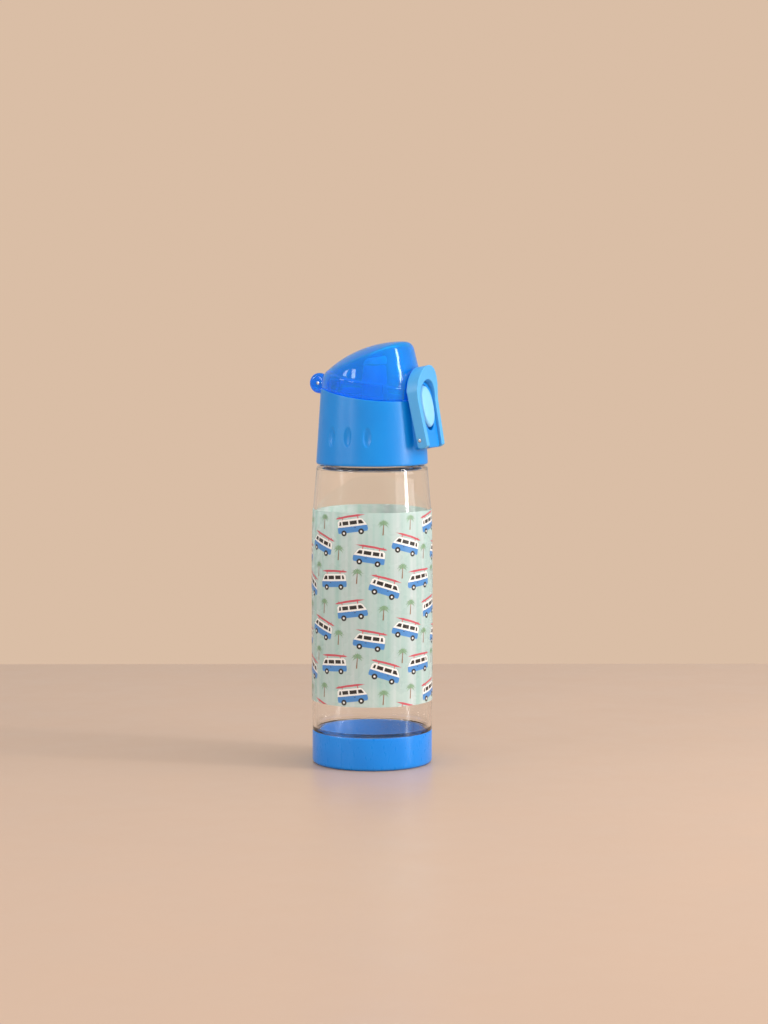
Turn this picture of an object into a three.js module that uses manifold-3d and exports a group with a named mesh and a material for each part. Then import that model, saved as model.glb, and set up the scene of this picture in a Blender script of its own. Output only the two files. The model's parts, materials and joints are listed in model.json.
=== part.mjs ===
// A child's drinking bottle: clear body, press-on base cup, printed sleeve, and a screw-on lid with a
// hinged flip cap, a release button and a swing-over lock bail. Millimetres, +Z up, with the origin at the
// underside's centre.
// The button faces -Y and the hinge is at +Y.
import * as THREE from "three";
import { mergeVertices } from "three/addons/utils/BufferGeometryUtils.js";
import Module from "manifold-3d";

const wasm = await Module();
wasm.setup();

// ---- Driving dimensions ----
const ROUND_STEPS = 48; // facets round the bottle
const SMALL_STEPS = 24; // facets round a small boss or bore
const PIN_STEPS = 16;
const CURVE_STEPS = 10; // facets of an extruded arch, for each curve
const GAP = 0.3; // between pieces that touch
const RUNNING_GAP = 0.1; // radial, pin in hole
const OVERSHOOT = 1; // how far a cutting solid runs past what it cuts
const FAR = 60; // beyond every surface of the lid

// The sizes that the rest follow
const BODY_RADIUS = 33.4;
const SHOULDER_Z = 166.2;
const SEAM_Z = SHOULDER_Z + 36.3; // parting line between lid and cap

// Base cup
const BASE_RADIUS = BODY_RADIUS;
const BASE_HEIGHT = 18;
const BASE_WALL = 1.6;
const BASE_FLOOR = 2;
const BASE_EDGE = 1.6; // rounding of the lower edge

// Bottle body
const BODY_WALL = 2;
const BODY_FLOOR = 2.7;
const BODY_FOOT_EDGE = 1.5;
const BODY_FLOOR_EDGE = 2;
const SHOULDER_RADIUS = BODY_RADIUS - 2.5;
const SHOULDER_EDGE = 1.8;
const NECK_RADIUS = SHOULDER_RADIUS - 7.3;
const NECK_TOP = SHOULDER_Z + 22.8;

// Printed sleeve
const SLEEVE_BOTTOM = BASE_HEIGHT + 17.5;
const SLEEVE_TOP = SHOULDER_Z - 24.2;
const SLEEVE_GAP = 0.15;
const SLEEVE_THICKNESS = 0.25;
const WAIST_BOTTOM = SLEEVE_TOP - 42; // the body narrows from here up
const WAIST_NARROWING = 0.6; // radius lost between WAIST_BOTTOM and the sleeve's top

// Screw thread
const THREAD_STARTS = 3;
const THREAD_LEAD = 12;
const THREAD_DEPTH = 1.2;
const THREAD_HEIGHT = 1.5;
const THREAD_LOW = NECK_TOP - 12;
const THREAD_FACET = 10; // degrees
const THREAD_CREST = 0.5; // height of the crest, as a share of the root's
const THREAD_END = 0.3; // height of the ends, as a share of the middle's
const THREAD_SUNK = 0.2; // how far the root reaches into the wall
const NECK_THREAD_TURN = 150;
const LINER_THREAD_TURN = 100;
const THREAD_ROOT_GAP = 0.5;

// Lid shell, a cone
const SHELL_BOTTOM = SHOULDER_Z + 0.8;
const SHELL_BOTTOM_RADIUS = SHOULDER_RADIUS + 0.1;
const SHELL_BOTTOM_EDGE = [0.5, 0.8]; // chamfer: across, up
const SHELL_TAPER = 0.064; // radius lost per millimetre of height
const SHELL_WALL = 1.8;
const SHELL_LEDGE_RADIUS = SHELL_BOTTOM_RADIUS - 8;
const SHELL_LEDGE = 1.8;
const SEAM_RISE = 5.8; // climb of the parting line over SEAM_RISE_LENGTH
const SEAM_RISE_START = 9 - SHELL_BOTTOM_RADIUS;
const SEAM_RISE_LENGTH = 40;
const SEAM_RISE_POWER = 1.5;
const SEAM_RISE_END = 1.05; // where the climb ends, as a share of SEAM_RISE_LENGTH
const SEAM_GAP = 0.4;

// Dimples in the lid's sides
const DIMPLE_Z = SEAM_Z - 18.9;
const DIMPLE_STEP = 21; // degrees between neighbours
const DIMPLE_SIZE = [1.6, 2.5, 6.2]; // half axes: depth, width, height
const DIMPLE_SETBACK = 0.7;

// Liner
const LINER_WALL = 1.7;
const LINER_BOTTOM = SHELL_BOTTOM + 1.2;
const DECK_THICKNESS = 2;
const GASKET_THICKNESS = 2;

// Spout and vent
const SPOUT_Y = -1.5;
const SPOUT_TOP = SEAM_Z + 19;
const SPOUT_TIP_RADIUS = 6.2;
const SPOUT_FOOT_RADIUS = SPOUT_TIP_RADIUS + 2;
const SPOUT_BORE = 3.6;
const SPOUT_FLANGE_RADIUS = SPOUT_FOOT_RADIUS + 2.3;
const SPOUT_FLANGE = 1.6;
const SPOUT_STUB_RADIUS = SPOUT_FOOT_RADIUS - 0.6;
const VENT_Y = SPOUT_Y + SPOUT_FLANGE_RADIUS + 5;
const VENT_STEM = 2;
const VENT_STEM_REACH = 0.8; // below the deck
const VENT_HEAD = 3.6;
const VENT_HEAD_HEIGHT = 1.3;

// Flip cap
const CAP_RADIUS = SHELL_BOTTOM_RADIUS - 1.9;
const CAP_WALL = 1.8;
const CAP_FRONT = CAP_RADIUS - 2.7; // flat face behind the bail, distance from the axis
const CAP_SIDE = [
  [3.1, 17.1],
  [4.1, 21],
  [4.9, 24.5],
  [5.8, 28.1],
  [6.8, 31],
  [7.9, 33],
]; // inwards from CAP_RADIUS and up from the seam
const CAP_BOSS_HALF_WIDTH = 13.8;
const CAP_BOSS_TOP = SEAM_Z + 16.8;
const CAP_BOSS_DEPTH = 14;
const ROOF_RISE = 32.3; // from the seam to the crest
const ROOF_TOP = SEAM_Z + ROOF_RISE;
const ROOF_CREST_Y = -0.653 * CAP_RADIUS;
const ROOF_HALF_AXES = [1.718 * CAP_RADIUS, 2.22 * CAP_RADIUS, 1.919 * ROOF_RISE]; // of its ellipsoid
const ROOF_STEPS = 96; // facets round the ellipsoid
const POST_RADIUS = 3.4;

// Plug inside the cap
const SEAL_NOSE = 2.2; // reach into the spout
const SEAL_NOSE_RADIUS = 1.6;
const SEAL_NOSE_ROOT = 2.9;
const SEAL_GAP = 0.4; // over the spout's rim
const SEAL_THICKNESS = 3.4;
const SEAL_LIP = 0.6; // past the spout's tip
const SEAL_GRIP_WALL = 1.4;
const SEAL_GRIP_HEIGHT = 2.2;
const POST_FOOT_GAP = 0.7; // between post and plug

// Hinge
const HINGE_Y = CAP_RADIUS - 0.1;
const HINGE_Z = SEAM_Z + 9;
const EAR_RADIUS = 5.7;
const LUG_RADIUS = EAR_RADIUS - 0.5;
const LUG_INNER = 3.4;
const LUG_OUTER = 5.8;
const LUG_SIDE_GAP = 0.35;
const LUG_SLOT_GAP = 1;
const EAR_INNER = LUG_OUTER + 0.4;
const EAR_OUTER = EAR_INNER + 3.7;
const EAR_ROUNDING = 2.4;
const EAR_ROOM = 0.5; // clearance in the lid round each ear
const PIN_RADIUS = 1;
const PIN_SETBACK = 0.4; // of a pin's end from the outside
const SPRING_COIL_RADIUS = PIN_RADIUS + 1.5;
const SPRING_WIRE = 0.4;
const SPRING_TURNS = 4.5; // the half turn sends both legs forward, one over the other
const SPRING_COIL_GAP = 0.25;
const SPRING_LEG = 8;

// Front boss, button and bail: the boss's face leans back, and its own frame has x across, y up the face
// and z out of it, with its origin at the button's centre.
const FACE_LEAN = 11.3; // degrees
const FACE_Y = -SHELL_BOTTOM_RADIUS - 2.7;
const FACE_Z = SEAM_Z - 3;
const BUTTON_HALF_WIDTH = 6.9;
const BUTTON_HALF_HEIGHT = 11.6;
const BUTTON_BACK = -2.2;
const BUTTON_FRONT = 0.6;
const BUTTON_EDGE = 0.5;
const BUTTON_DOME = 1.2;
const BUTTON_RIM = 0.6; // flat ring round the dome
const BOSS_HALF_WIDTH = BUTTON_HALF_WIDTH + 2.1;
const BOSS_TAPER = 0.065; // half-width lost per millimetre down the face
const BOSS_FOOT = -BUTTON_HALF_HEIGHT - 11.3;
const BOSS_FOOT_EDGE = 2.5;
const BOSS_ARCH_TOP = BUTTON_HALF_HEIGHT + 2.3;
const BOSS_DEPTH = 10;
const BOSS_LIP_DEPTH = 3.4;
const POCKET_DEPTH = 5.2;
const POCKET_SIDE_GAP = 0.4;
const POCKET_FOOT_GAP = 1.8;
const LATCH_HALF_WIDTH = 4.2;
const LATCH_BOTTOM = -0.6;
const LATCH_TOP = 1.7;
const LATCH_REACH = 12;
const LATCH_HOOK_TOP = 7.5;
const LATCH_HOOK_HEIGHT = 2;
const LATCH_HOOK_NOSE = 0.8;
const LATCH_ARM = 2.2;
const LATCH_WINDOW_GAP = [0.4, 0.6]; // at the sides, above and below
const BUTTON_SPRING_RADIUS = 2.1;
const BUTTON_SPRING_WIRE = 0.3;
const BUTTON_SPRING_TURNS = 3;
const BUTTON_SPRING_PLACE = -7.5;
const BAIL_LIMB = 3.9;
const BAIL_HALF_WIDTH = BOSS_HALF_WIDTH + 0.4 + BAIL_LIMB;
const BAIL_TOP = BOSS_ARCH_TOP + 8;
const BAIL_ARCH_HEIGHT = 13.9;
const BAIL_WINDOW_TOP = BOSS_ARCH_TOP + 0.4;
const BAIL_BACK = -4.6;
const BAIL_FRONT = 1.4;
const BAIL_LIP_START = 7; // where the front begins to flare into a finger lip
const BAIL_LIP_FRONT = 5.8;
const BAIL_BEVEL = 0.8;
const BAIL_PIVOT_Y = BOSS_FOOT + 4.6;
const BAIL_PIVOT_Z = -2.8;
const BAIL_HEEL_FORWARD = 1;
const BAIL_PIN_INNER = 5.6;
const BAIL_SWING_GAP = 0.9; // the opening cap bulges past its rest face by about half of this

const COLOURS = {
  lid: 0x3c94de,
  cap: 0x0a6ee8,
  base: 0x1a86e4,
  button: 0x8fccf4,
  clear: 0xeae2dc,
  mint: 0xb9cfc6,
  silicone: 0xf2f2ee,
  metal: 0xc9ccd1,
};

// ---- Values that follow from them ----
const shellRadius = (z) => SHELL_BOTTOM_RADIUS - SHELL_TAPER * (z - SHELL_BOTTOM);
const GASKET_BOTTOM = NECK_TOP + GAP;
const DECK_BOTTOM = GASKET_BOTTOM + GASKET_THICKNESS + GAP;
const DECK_TOP = DECK_BOTTOM + DECK_THICKNESS;
const LEDGE_BOTTOM = DECK_TOP + GAP;
const LEDGE_TOP = LEDGE_BOTTOM + SHELL_LEDGE;
const LINER_BORE = NECK_RADIUS + THREAD_DEPTH + THREAD_ROOT_GAP;
const LINER_RADIUS = LINER_BORE + LINER_WALL;
const STANDING_Z = BASE_FLOOR + GAP;

// ---- Geometry helpers ----
// Turns a closed three.js geometry into a solid that can be joined and cut.
function solid(geometry) {
  const bare = geometry.clone();
  bare.deleteAttribute("normal");
  bare.deleteAttribute("uv");
  const merged = mergeVertices(bare, 1e-4);
  const index = merged.index.array;
  const kept = [];
  for (let i = 0; i < index.length; i += 3) {
    const [a, b, c] = index.slice(i, i + 3);
    if (a !== b && b !== c && c !== a) kept.push(a, b, c);
  }
  return new wasm.Manifold(
    new wasm.Mesh({
      numProp: 3,
      vertProperties: merged.attributes.position.array,
      triVerts: new Uint32Array(kept),
    }),
  );
}

// Turns a solid back into a geometry.
function geometryOf(body) {
  const made = body.getMesh();
  return new THREE.BufferGeometry()
    .setAttribute("position", new THREE.BufferAttribute(made.vertProperties, 3))
    .setIndex(new THREE.BufferAttribute(made.triVerts, 1));
}

// A solid of revolution about +Z. The outline holds [radius, height] pairs, anticlockwise.
function turned(outline, steps = ROUND_STEPS) {
  const points = [...outline, outline[0]].map(([r, z]) => new THREE.Vector2(r, z));
  return new THREE.LatheGeometry(points, steps).rotateX(Math.PI / 2);
}

// A rod along X.
function rodX(radius, x0, x1, y, z, steps = PIN_STEPS) {
  return new THREE.CylinderGeometry(radius, radius, x1 - x0, steps)
    .rotateZ(-Math.PI / 2)
    .translate((x0 + x1) / 2, y, z);
}

// A rod along Z.
function rodZ(radius, z0, z1, x, y, steps = SMALL_STEPS) {
  return new THREE.CylinderGeometry(radius, radius, z1 - z0, steps)
    .rotateX(Math.PI / 2)
    .translate(x, y, (z0 + z1) / 2);
}

// A box between two corners.
function block(low, high) {
  const size = high.map((value, i) => value - low[i]);
  const middle = high.map((value, i) => (value + low[i]) / 2);
  return new THREE.BoxGeometry(...size).translate(...middle);
}

// A prism along X of an outline of [y, z] pairs.
function prismX(outline, x0, x1) {
  const shape = new THREE.Shape(outline.map(([y, z]) => new THREE.Vector2(y, z)));
  return new THREE.ExtrudeGeometry(shape, { depth: x1 - x0, bevelEnabled: false })
    .rotateX(Math.PI / 2)
    .rotateZ(Math.PI / 2)
    .translate(x0, 0, 0);
}

// Points along a function of one value, ends included.
function sampled(from, to, steps, point) {
  return Array.from({ length: steps + 1 }, (_, i) => point(from + ((to - from) * i) / steps));
}

// Moves a geometry from the boss's frame to the bottle's.
function onFace(geometry) {
  return geometry
    .rotateX(Math.PI / 2 - THREE.MathUtils.degToRad(FACE_LEAN))
    .translate(0, FACE_Y, FACE_Z);
}

// A slab of a flat shape in the boss's frame, between two depths.
function faceSlab(shape, back, front, bevel = 0) {
  const made = new THREE.ExtrudeGeometry(shape, {
    depth: front - back - 2 * bevel,
    bevelEnabled: bevel > 0,
    bevelThickness: bevel,
    bevelSize: bevel,
    bevelOffset: -bevel,
    bevelSegments: 2,
    curveSegments: CURVE_STEPS,
  });
  return made.translate(0, 0, back + bevel);
}

// Half an ellipse on sides that can draw in towards the foot.
function archShape(halfWidth, foot, spring, top, { taper = 0, footRounding = 0 } = {}) {
  const footHalfWidth = halfWidth - taper * (spring - foot);
  const shape = new THREE.Shape();
  shape.moveTo(-footHalfWidth + footRounding, foot);
  shape.lineTo(footHalfWidth - footRounding, foot);
  if (footRounding > 0) {
    shape.absarc(footHalfWidth - footRounding, foot + footRounding, footRounding, -Math.PI / 2, 0);
  }
  shape.lineTo(halfWidth, spring);
  shape.absellipse(0, spring, halfWidth, top - spring, 0, Math.PI);
  if (footRounding > 0) {
    shape.absarc(-footHalfWidth + footRounding, foot + footRounding, footRounding, Math.PI, 1.5 * Math.PI);
  }
  return shape;
}

function ovalShape(halfWidth, halfHeight, centre = 0) {
  const shape = new THREE.Shape();
  shape.absellipse(0, centre, halfWidth, halfHeight, 0, 2 * Math.PI);
  return shape;
}

// One helical ridge: a straight bar wrapped round +Z. A negative depth puts its crest on the inside.
function threadRidge(rootRadius, depth, startDegrees, turnDegrees, z) {
  const steps = Math.ceil(turnDegrees / THREAD_FACET);
  const bar = new THREE.BoxGeometry(1, 1, 1, steps, 1, 1);
  const place = bar.attributes.position;
  for (let i = 0; i < place.count; i++) {
    const along = place.getX(i) + 0.5;
    const out = depth > 0 ? place.getZ(i) + 0.5 : 0.5 - place.getZ(i);
    const atEnd = along === 0 || along === 1;
    const height = atEnd ? THREAD_END : THREE.MathUtils.lerp(1, THREAD_CREST, out);
    const angle = THREE.MathUtils.degToRad(startDegrees + along * turnDegrees);
    const radius = rootRadius + Math.sign(depth) * THREE.MathUtils.lerp(-THREAD_SUNK, Math.abs(depth), out);
    const rise = (THREAD_LEAD * along * turnDegrees) / 360;
    const flank = place.getY(i) * THREAD_HEIGHT * height;
    place.setXYZ(i, radius * Math.cos(angle), radius * Math.sin(angle), z + rise + flank);
  }
  return bar;
}

// All the starts of a thread.
function threadRidges(rootRadius, depth, firstDegrees, turnDegrees, z) {
  return Array.from({ length: THREAD_STARTS }, (_, i) =>
    solid(threadRidge(rootRadius, depth, firstDegrees + (360 * i) / THREAD_STARTS, turnDegrees, z)),
  );
}

// A coil along +Z from 0. Its ends can run on as straight legs towards -Y, which needs an odd half turn.
function coil(radius, wire, turns, pitch, leg = 0) {
  const stepsPerTurn = 12;
  const steps = turns * stepsPerTurn;
  const points = sampled(0, turns, steps, (turn) => {
    const angle = 2 * Math.PI * turn;
    return new THREE.Vector3(radius * Math.cos(angle), radius * Math.sin(angle), pitch * turn);
  });
  if (leg > 0) {
    points.unshift(new THREE.Vector3(radius, -leg, 0));
    points.push(new THREE.Vector3(-radius, -leg, pitch * turns));
  }
  const section = new THREE.Shape();
  section.absarc(0, 0, wire, 0, 2 * Math.PI);
  return new THREE.ExtrudeGeometry(section, {
    steps: steps + (leg > 0 ? 8 : 0),
    extrudePath: new THREE.CatmullRomCurve3(points),
    curveSegments: 3,
    bevelEnabled: false,
  });
}

// A named mesh.
function piece(name, geometry, colour, finish = {}) {
  const material = new THREE.MeshStandardMaterial({ color: colour, roughness: 0.4, metalness: 0, ...finish });
  const mesh = new THREE.Mesh(geometry, material);
  mesh.name = name;
  return mesh;
}

// ---- Base cup, body and sleeve ----
function baseCup() {
  const edge = sampled(-Math.PI / 2, 0, 4, (a) => [
    BASE_RADIUS - BASE_EDGE + BASE_EDGE * Math.cos(a),
    BASE_EDGE + BASE_EDGE * Math.sin(a),
  ]);
  const outline = [
    [0, 0],
    ...edge,
    [BASE_RADIUS, BASE_HEIGHT],
    [BASE_RADIUS - BASE_WALL, BASE_HEIGHT],
    [BASE_RADIUS - BASE_WALL, BASE_FLOOR],
    [0, BASE_FLOOR],
  ];
  return piece("base_cup", turned(outline), COLOURS.base);
}

// The body's outer radius between the base cup and the shoulder.
function bodyRadius(z) {
  if (z < WAIST_BOTTOM) return BODY_RADIUS;
  const waist = (z - WAIST_BOTTOM) / (SLEEVE_TOP - WAIST_BOTTOM);
  if (z <= SLEEVE_TOP) return BODY_RADIUS - WAIST_NARROWING * waist ** 2;
  const sleeveTopRadius = BODY_RADIUS - WAIST_NARROWING;
  const climb = (z - SLEEVE_TOP) / (SHOULDER_Z - SHOULDER_EDGE - SLEEVE_TOP);
  return THREE.MathUtils.lerp(sleeveTopRadius, SHOULDER_RADIUS, climb);
}

// Heights at which the sleeve and the wall behind it are set out.
const SLEEVE_HEIGHTS = [SLEEVE_BOTTOM, ...sampled(WAIST_BOTTOM, SLEEVE_TOP, 3, (z) => z)];

function bottleBody() {
  const footRadius = BASE_RADIUS - BASE_WALL - GAP;
  const seatZ = BASE_HEIGHT + GAP;
  const floorZ = STANDING_Z + BODY_FLOOR;
  const shoulderLow = SHOULDER_Z - SHOULDER_EDGE;
  const shoulder = sampled(0, Math.PI / 2, 4, (a) => [
    SHOULDER_RADIUS - SHOULDER_EDGE + SHOULDER_EDGE * Math.cos(a),
    shoulderLow + SHOULDER_EDGE * Math.sin(a),
  ]);
  const outside = [
    [0, STANDING_Z],
    [footRadius - BODY_FOOT_EDGE, STANDING_Z],
    [footRadius, STANDING_Z + BODY_FOOT_EDGE],
    [footRadius, seatZ],
    [BASE_RADIUS, seatZ],
    ...SLEEVE_HEIGHTS.map((z) => [bodyRadius(z), z]),
    ...shoulder,
    [NECK_RADIUS, SHOULDER_Z],
    [NECK_RADIUS, NECK_TOP],
  ];
  const inside = [
    [NECK_RADIUS - BODY_WALL, NECK_TOP],
    [NECK_RADIUS - BODY_WALL, SHOULDER_Z - BODY_WALL],
    [SHOULDER_RADIUS - BODY_WALL - SHOULDER_EDGE, SHOULDER_Z - BODY_WALL],
    [SHOULDER_RADIUS - BODY_WALL, shoulderLow - BODY_WALL],
    ...SLEEVE_HEIGHTS.map((z) => [bodyRadius(z) - BODY_WALL, z]).reverse(),
    [BODY_RADIUS - BODY_WALL, seatZ + BODY_WALL],
    [footRadius - BODY_WALL, seatZ],
    [footRadius - BODY_WALL, floorZ + BODY_FLOOR_EDGE],
    [footRadius - BODY_WALL - BODY_FLOOR_EDGE, floorZ],
    [0, floorZ],
  ];
  const ridges = threadRidges(NECK_RADIUS, THREAD_DEPTH, 0, NECK_THREAD_TURN, THREAD_LOW);
  const body = ridges.reduce((made, ridge) => made.add(ridge), solid(turned([...outside, ...inside])));
  return piece("bottle_body", geometryOf(body), COLOURS.clear, {
    roughness: 0.05,
    transparent: true,
    opacity: 0.3,
  });
}

function printedSleeve() {
  const inside = SLEEVE_HEIGHTS.map((z) => [bodyRadius(z) + SLEEVE_GAP, z]);
  const outside = inside.map(([r, z]) => [r + SLEEVE_THICKNESS, z]);
  return piece("printed_sleeve", turned([...outside, ...inside.reverse()]), COLOURS.mint, { roughness: 0.3 });
}

// ---- Inside the lid ----
function neckGasket() {
  const inner = NECK_RADIUS - BODY_WALL;
  const outer = LINER_BORE - GAP;
  const top = GASKET_BOTTOM + GASKET_THICKNESS;
  const outline = [
    [inner, GASKET_BOTTOM],
    [outer, GASKET_BOTTOM],
    [outer, top],
    [inner, top],
  ];
  return piece("neck_gasket", turned(outline), COLOURS.silicone, { roughness: 0.7 });
}

function lidLiner() {
  const outline = [
    [LINER_BORE, LINER_BOTTOM],
    [LINER_RADIUS, LINER_BOTTOM],
    [LINER_RADIUS, DECK_TOP],
    [0, DECK_TOP],
    [0, DECK_BOTTOM],
    [LINER_BORE, DECK_BOTTOM],
  ];
  const [holeLow, holeHigh] = [DECK_BOTTOM - OVERSHOOT, DECK_TOP + OVERSHOOT];
  const spoutHole = rodZ(SPOUT_STUB_RADIUS + GAP, holeLow, holeHigh, 0, SPOUT_Y);
  const ventHole = rodZ(VENT_STEM + GAP, holeLow, holeHigh, 0, VENT_Y);
  const bored = solid(turned(outline)).subtract(solid(spoutHole)).subtract(solid(ventHole));
  const pitch = THREAD_LEAD / THREAD_STARTS;
  const lead = (NECK_THREAD_TURN - LINER_THREAD_TURN) / 2;
  const z = THREAD_LOW - pitch / 2 + (THREAD_LEAD * lead) / 360;
  const ridges = threadRidges(LINER_BORE, -THREAD_DEPTH, lead, LINER_THREAD_TURN, z);
  const made = ridges.reduce((body, ridge) => body.add(ridge), bored);
  return piece("lid_liner", geometryOf(made), COLOURS.lid);
}

function spout() {
  const flangeBottom = DECK_TOP + GAP;
  const flangeTop = flangeBottom + SPOUT_FLANGE;
  const lip = sampled(0, Math.PI, 6, (a) => {
    const half = (SPOUT_TIP_RADIUS - SPOUT_BORE) / 2;
    return [SPOUT_BORE + half + half * Math.cos(a), SPOUT_TOP - half + half * Math.sin(a)];
  });
  const outline = [
    [SPOUT_BORE + 1, DECK_BOTTOM - 1],
    [SPOUT_STUB_RADIUS, DECK_BOTTOM - 1],
    [SPOUT_STUB_RADIUS, flangeBottom],
    [SPOUT_FLANGE_RADIUS, flangeBottom],
    [SPOUT_FLANGE_RADIUS, flangeTop],
    [SPOUT_FOOT_RADIUS, flangeTop + 1],
    ...lip,
  ];
  const mesh = piece("spout", turned(outline, SMALL_STEPS), COLOURS.base);
  mesh.position.y = SPOUT_Y;
  return mesh;
}

function ventValve() {
  const headBottom = DECK_TOP + GAP;
  const outline = [
    [0, DECK_BOTTOM - VENT_STEM_REACH],
    [VENT_STEM, DECK_BOTTOM - VENT_STEM_REACH],
    [VENT_STEM, headBottom],
    [VENT_HEAD, headBottom],
    [VENT_HEAD - 0.5, headBottom + VENT_HEAD_HEIGHT - 0.2],
    [0, headBottom + VENT_HEAD_HEIGHT],
  ];
  const mesh = piece("vent_valve", turned(outline, SMALL_STEPS), COLOURS.silicone, { roughness: 0.7 });
  mesh.position.y = VENT_Y;
  return mesh;
}

// ---- Lid shell ----
// Height of the parting line at a distance behind the axis.
function seamHeight(y) {
  const climb = THREE.MathUtils.clamp((y - SEAM_RISE_START) / SEAM_RISE_LENGTH, 0, SEAM_RISE_END);
  return SEAM_Z + SEAM_RISE * climb ** SEAM_RISE_POWER;
}

// The space above the parting line, raised by an offset.
function aboveSeam(offset) {
  const riseEnd = SEAM_RISE_START + SEAM_RISE_END * SEAM_RISE_LENGTH;
  const line = sampled(SEAM_RISE_START, riseEnd, 12, (y) => [y, seamHeight(y) + offset]);
  const outline = [
    [-FAR, SEAM_Z + offset],
    ...line,
    [FAR, seamHeight(FAR) + offset],
    [FAR, SEAM_Z + FAR],
    [-FAR, SEAM_Z + FAR],
  ];
  return prismX(outline, -FAR, FAR);
}

// The lugs that carry the hinge pin, one each side of the spring.
function lug(side) {
  const web = prismX(
    [
      [HINGE_Y - LUG_RADIUS, HINGE_Z],
      [shellRadius(SEAM_Z) - SHELL_WALL - 0.6, SEAM_Z - 1],
      [shellRadius(SEAM_Z) - 0.4, SEAM_Z - 1],
      [HINGE_Y + 1, HINGE_Z - LUG_RADIUS + 0.4],
    ],
    LUG_INNER,
    LUG_OUTER,
  );
  const eye = rodX(LUG_RADIUS, LUG_INNER, LUG_OUTER, HINGE_Y, HINGE_Z, SMALL_STEPS);
  const made = solid(web).add(solid(eye));
  return side > 0 ? made : made.mirror([1, 0, 0]);
}

function dimples() {
  const [depth, width, height] = DIMPLE_SIZE;
  const radius = shellRadius(DIMPLE_Z) + DIMPLE_SETBACK;
  const angles = [0, 180].flatMap((side) => [-1, 0, 1].map((step) => side + step * DIMPLE_STEP));
  return angles.map((degrees) =>
    solid(
      new THREE.SphereGeometry(1, 12, 8)
        .scale(depth, width, height)
        .translate(radius, 0, DIMPLE_Z)
        .rotateZ(THREE.MathUtils.degToRad(degrees)),
    ),
  );
}

function lidShell() {
  const top = SEAM_Z + SEAM_RISE + 4;
  const coneBody = turned([
    [0, SHELL_BOTTOM],
    [SHELL_BOTTOM_RADIUS - SHELL_BOTTOM_EDGE[0], SHELL_BOTTOM],
    [SHELL_BOTTOM_RADIUS, SHELL_BOTTOM + SHELL_BOTTOM_EDGE[1]],
    [shellRadius(top), top],
    [0, top],
  ]);
  const hollow = turned([
    [0, SHELL_BOTTOM - OVERSHOOT],
    [SHELL_BOTTOM_RADIUS - SHELL_WALL, SHELL_BOTTOM - OVERSHOOT],
    [shellRadius(LEDGE_BOTTOM) - SHELL_WALL, LEDGE_BOTTOM],
    [SHELL_LEDGE_RADIUS, LEDGE_BOTTOM],
    [SHELL_LEDGE_RADIUS, LEDGE_TOP],
    [shellRadius(LEDGE_TOP) - SHELL_WALL, LEDGE_TOP],
    [shellRadius(top) - SHELL_WALL, top + OVERSHOOT],
    [0, top + OVERSHOOT],
  ]);
  const bossSpring = BOSS_ARCH_TOP - BOSS_HALF_WIDTH;
  const bossShape = archShape(BOSS_HALF_WIDTH, BOSS_FOOT, bossSpring, BOSS_ARCH_TOP, {
    taper: BOSS_TAPER,
    footRounding: BOSS_FOOT_EDGE,
  });
  const boss = onFace(faceSlab(bossShape, -BOSS_DEPTH, 0));
  const lip = onFace(faceSlab(bossShape, -BOSS_LIP_DEPTH, 0));
  const pocketHalfHeight = BUTTON_HALF_HEIGHT + (POCKET_SIDE_GAP + POCKET_FOOT_GAP) / 2;
  const pocketCentre = (POCKET_SIDE_GAP - POCKET_FOOT_GAP) / 2;
  const pocketShape = ovalShape(BUTTON_HALF_WIDTH + POCKET_SIDE_GAP, pocketHalfHeight, pocketCentre);
  const pocket = onFace(faceSlab(pocketShape, -POCKET_DEPTH, OVERSHOOT));
  const [windowSide, windowEnd] = LATCH_WINDOW_GAP;
  const latchWindow = onFace(
    block(
      [-LATCH_HALF_WIDTH - windowSide, LATCH_BOTTOM - windowEnd, -LATCH_REACH - OVERSHOOT],
      [LATCH_HALF_WIDTH + windowSide, LATCH_TOP + windowEnd, 0],
    ),
  );
  const pinHoleEnd = BOSS_HALF_WIDTH + OVERSHOOT;
  const pinHole = onFace(
    rodX(PIN_RADIUS + RUNNING_GAP, -pinHoleEnd, pinHoleEnd, BAIL_PIVOT_Y, BAIL_PIVOT_Z),
  );
  const hingeHole = rodX(PIN_RADIUS + RUNNING_GAP, -EAR_OUTER, EAR_OUTER, HINGE_Y, HINGE_Z);
  const earRoom = [-1, 1].map((side) => {
    const ends = [LUG_OUTER, EAR_OUTER + EAR_ROOM].map((x) => x * side).sort((a, b) => a - b);
    return solid(rodX(EAR_RADIUS + EAR_ROOM, ends[0], ends[1], HINGE_Y, HINGE_Z, ROUND_STEPS));
  });
  const springRoom = rodX(LUG_RADIUS + GAP, -LUG_INNER, LUG_INNER, HINGE_Y, HINGE_Z, SMALL_STEPS);
  let made = solid(coneBody).add(solid(boss)).subtract(solid(aboveSeam(0)));
  made = made.add(solid(lip)).subtract(solid(hollow));
  made = made.add(lug(-1)).add(lug(1)).subtract(solid(springRoom));
  for (const cut of [pocket, latchWindow, pinHole, hingeHole]) {
    made = made.subtract(solid(cut));
  }
  for (const cut of [...earRoom, ...dimples()]) {
    made = made.subtract(cut);
  }
  return piece("lid_shell", geometryOf(made), COLOURS.lid);
}

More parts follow.
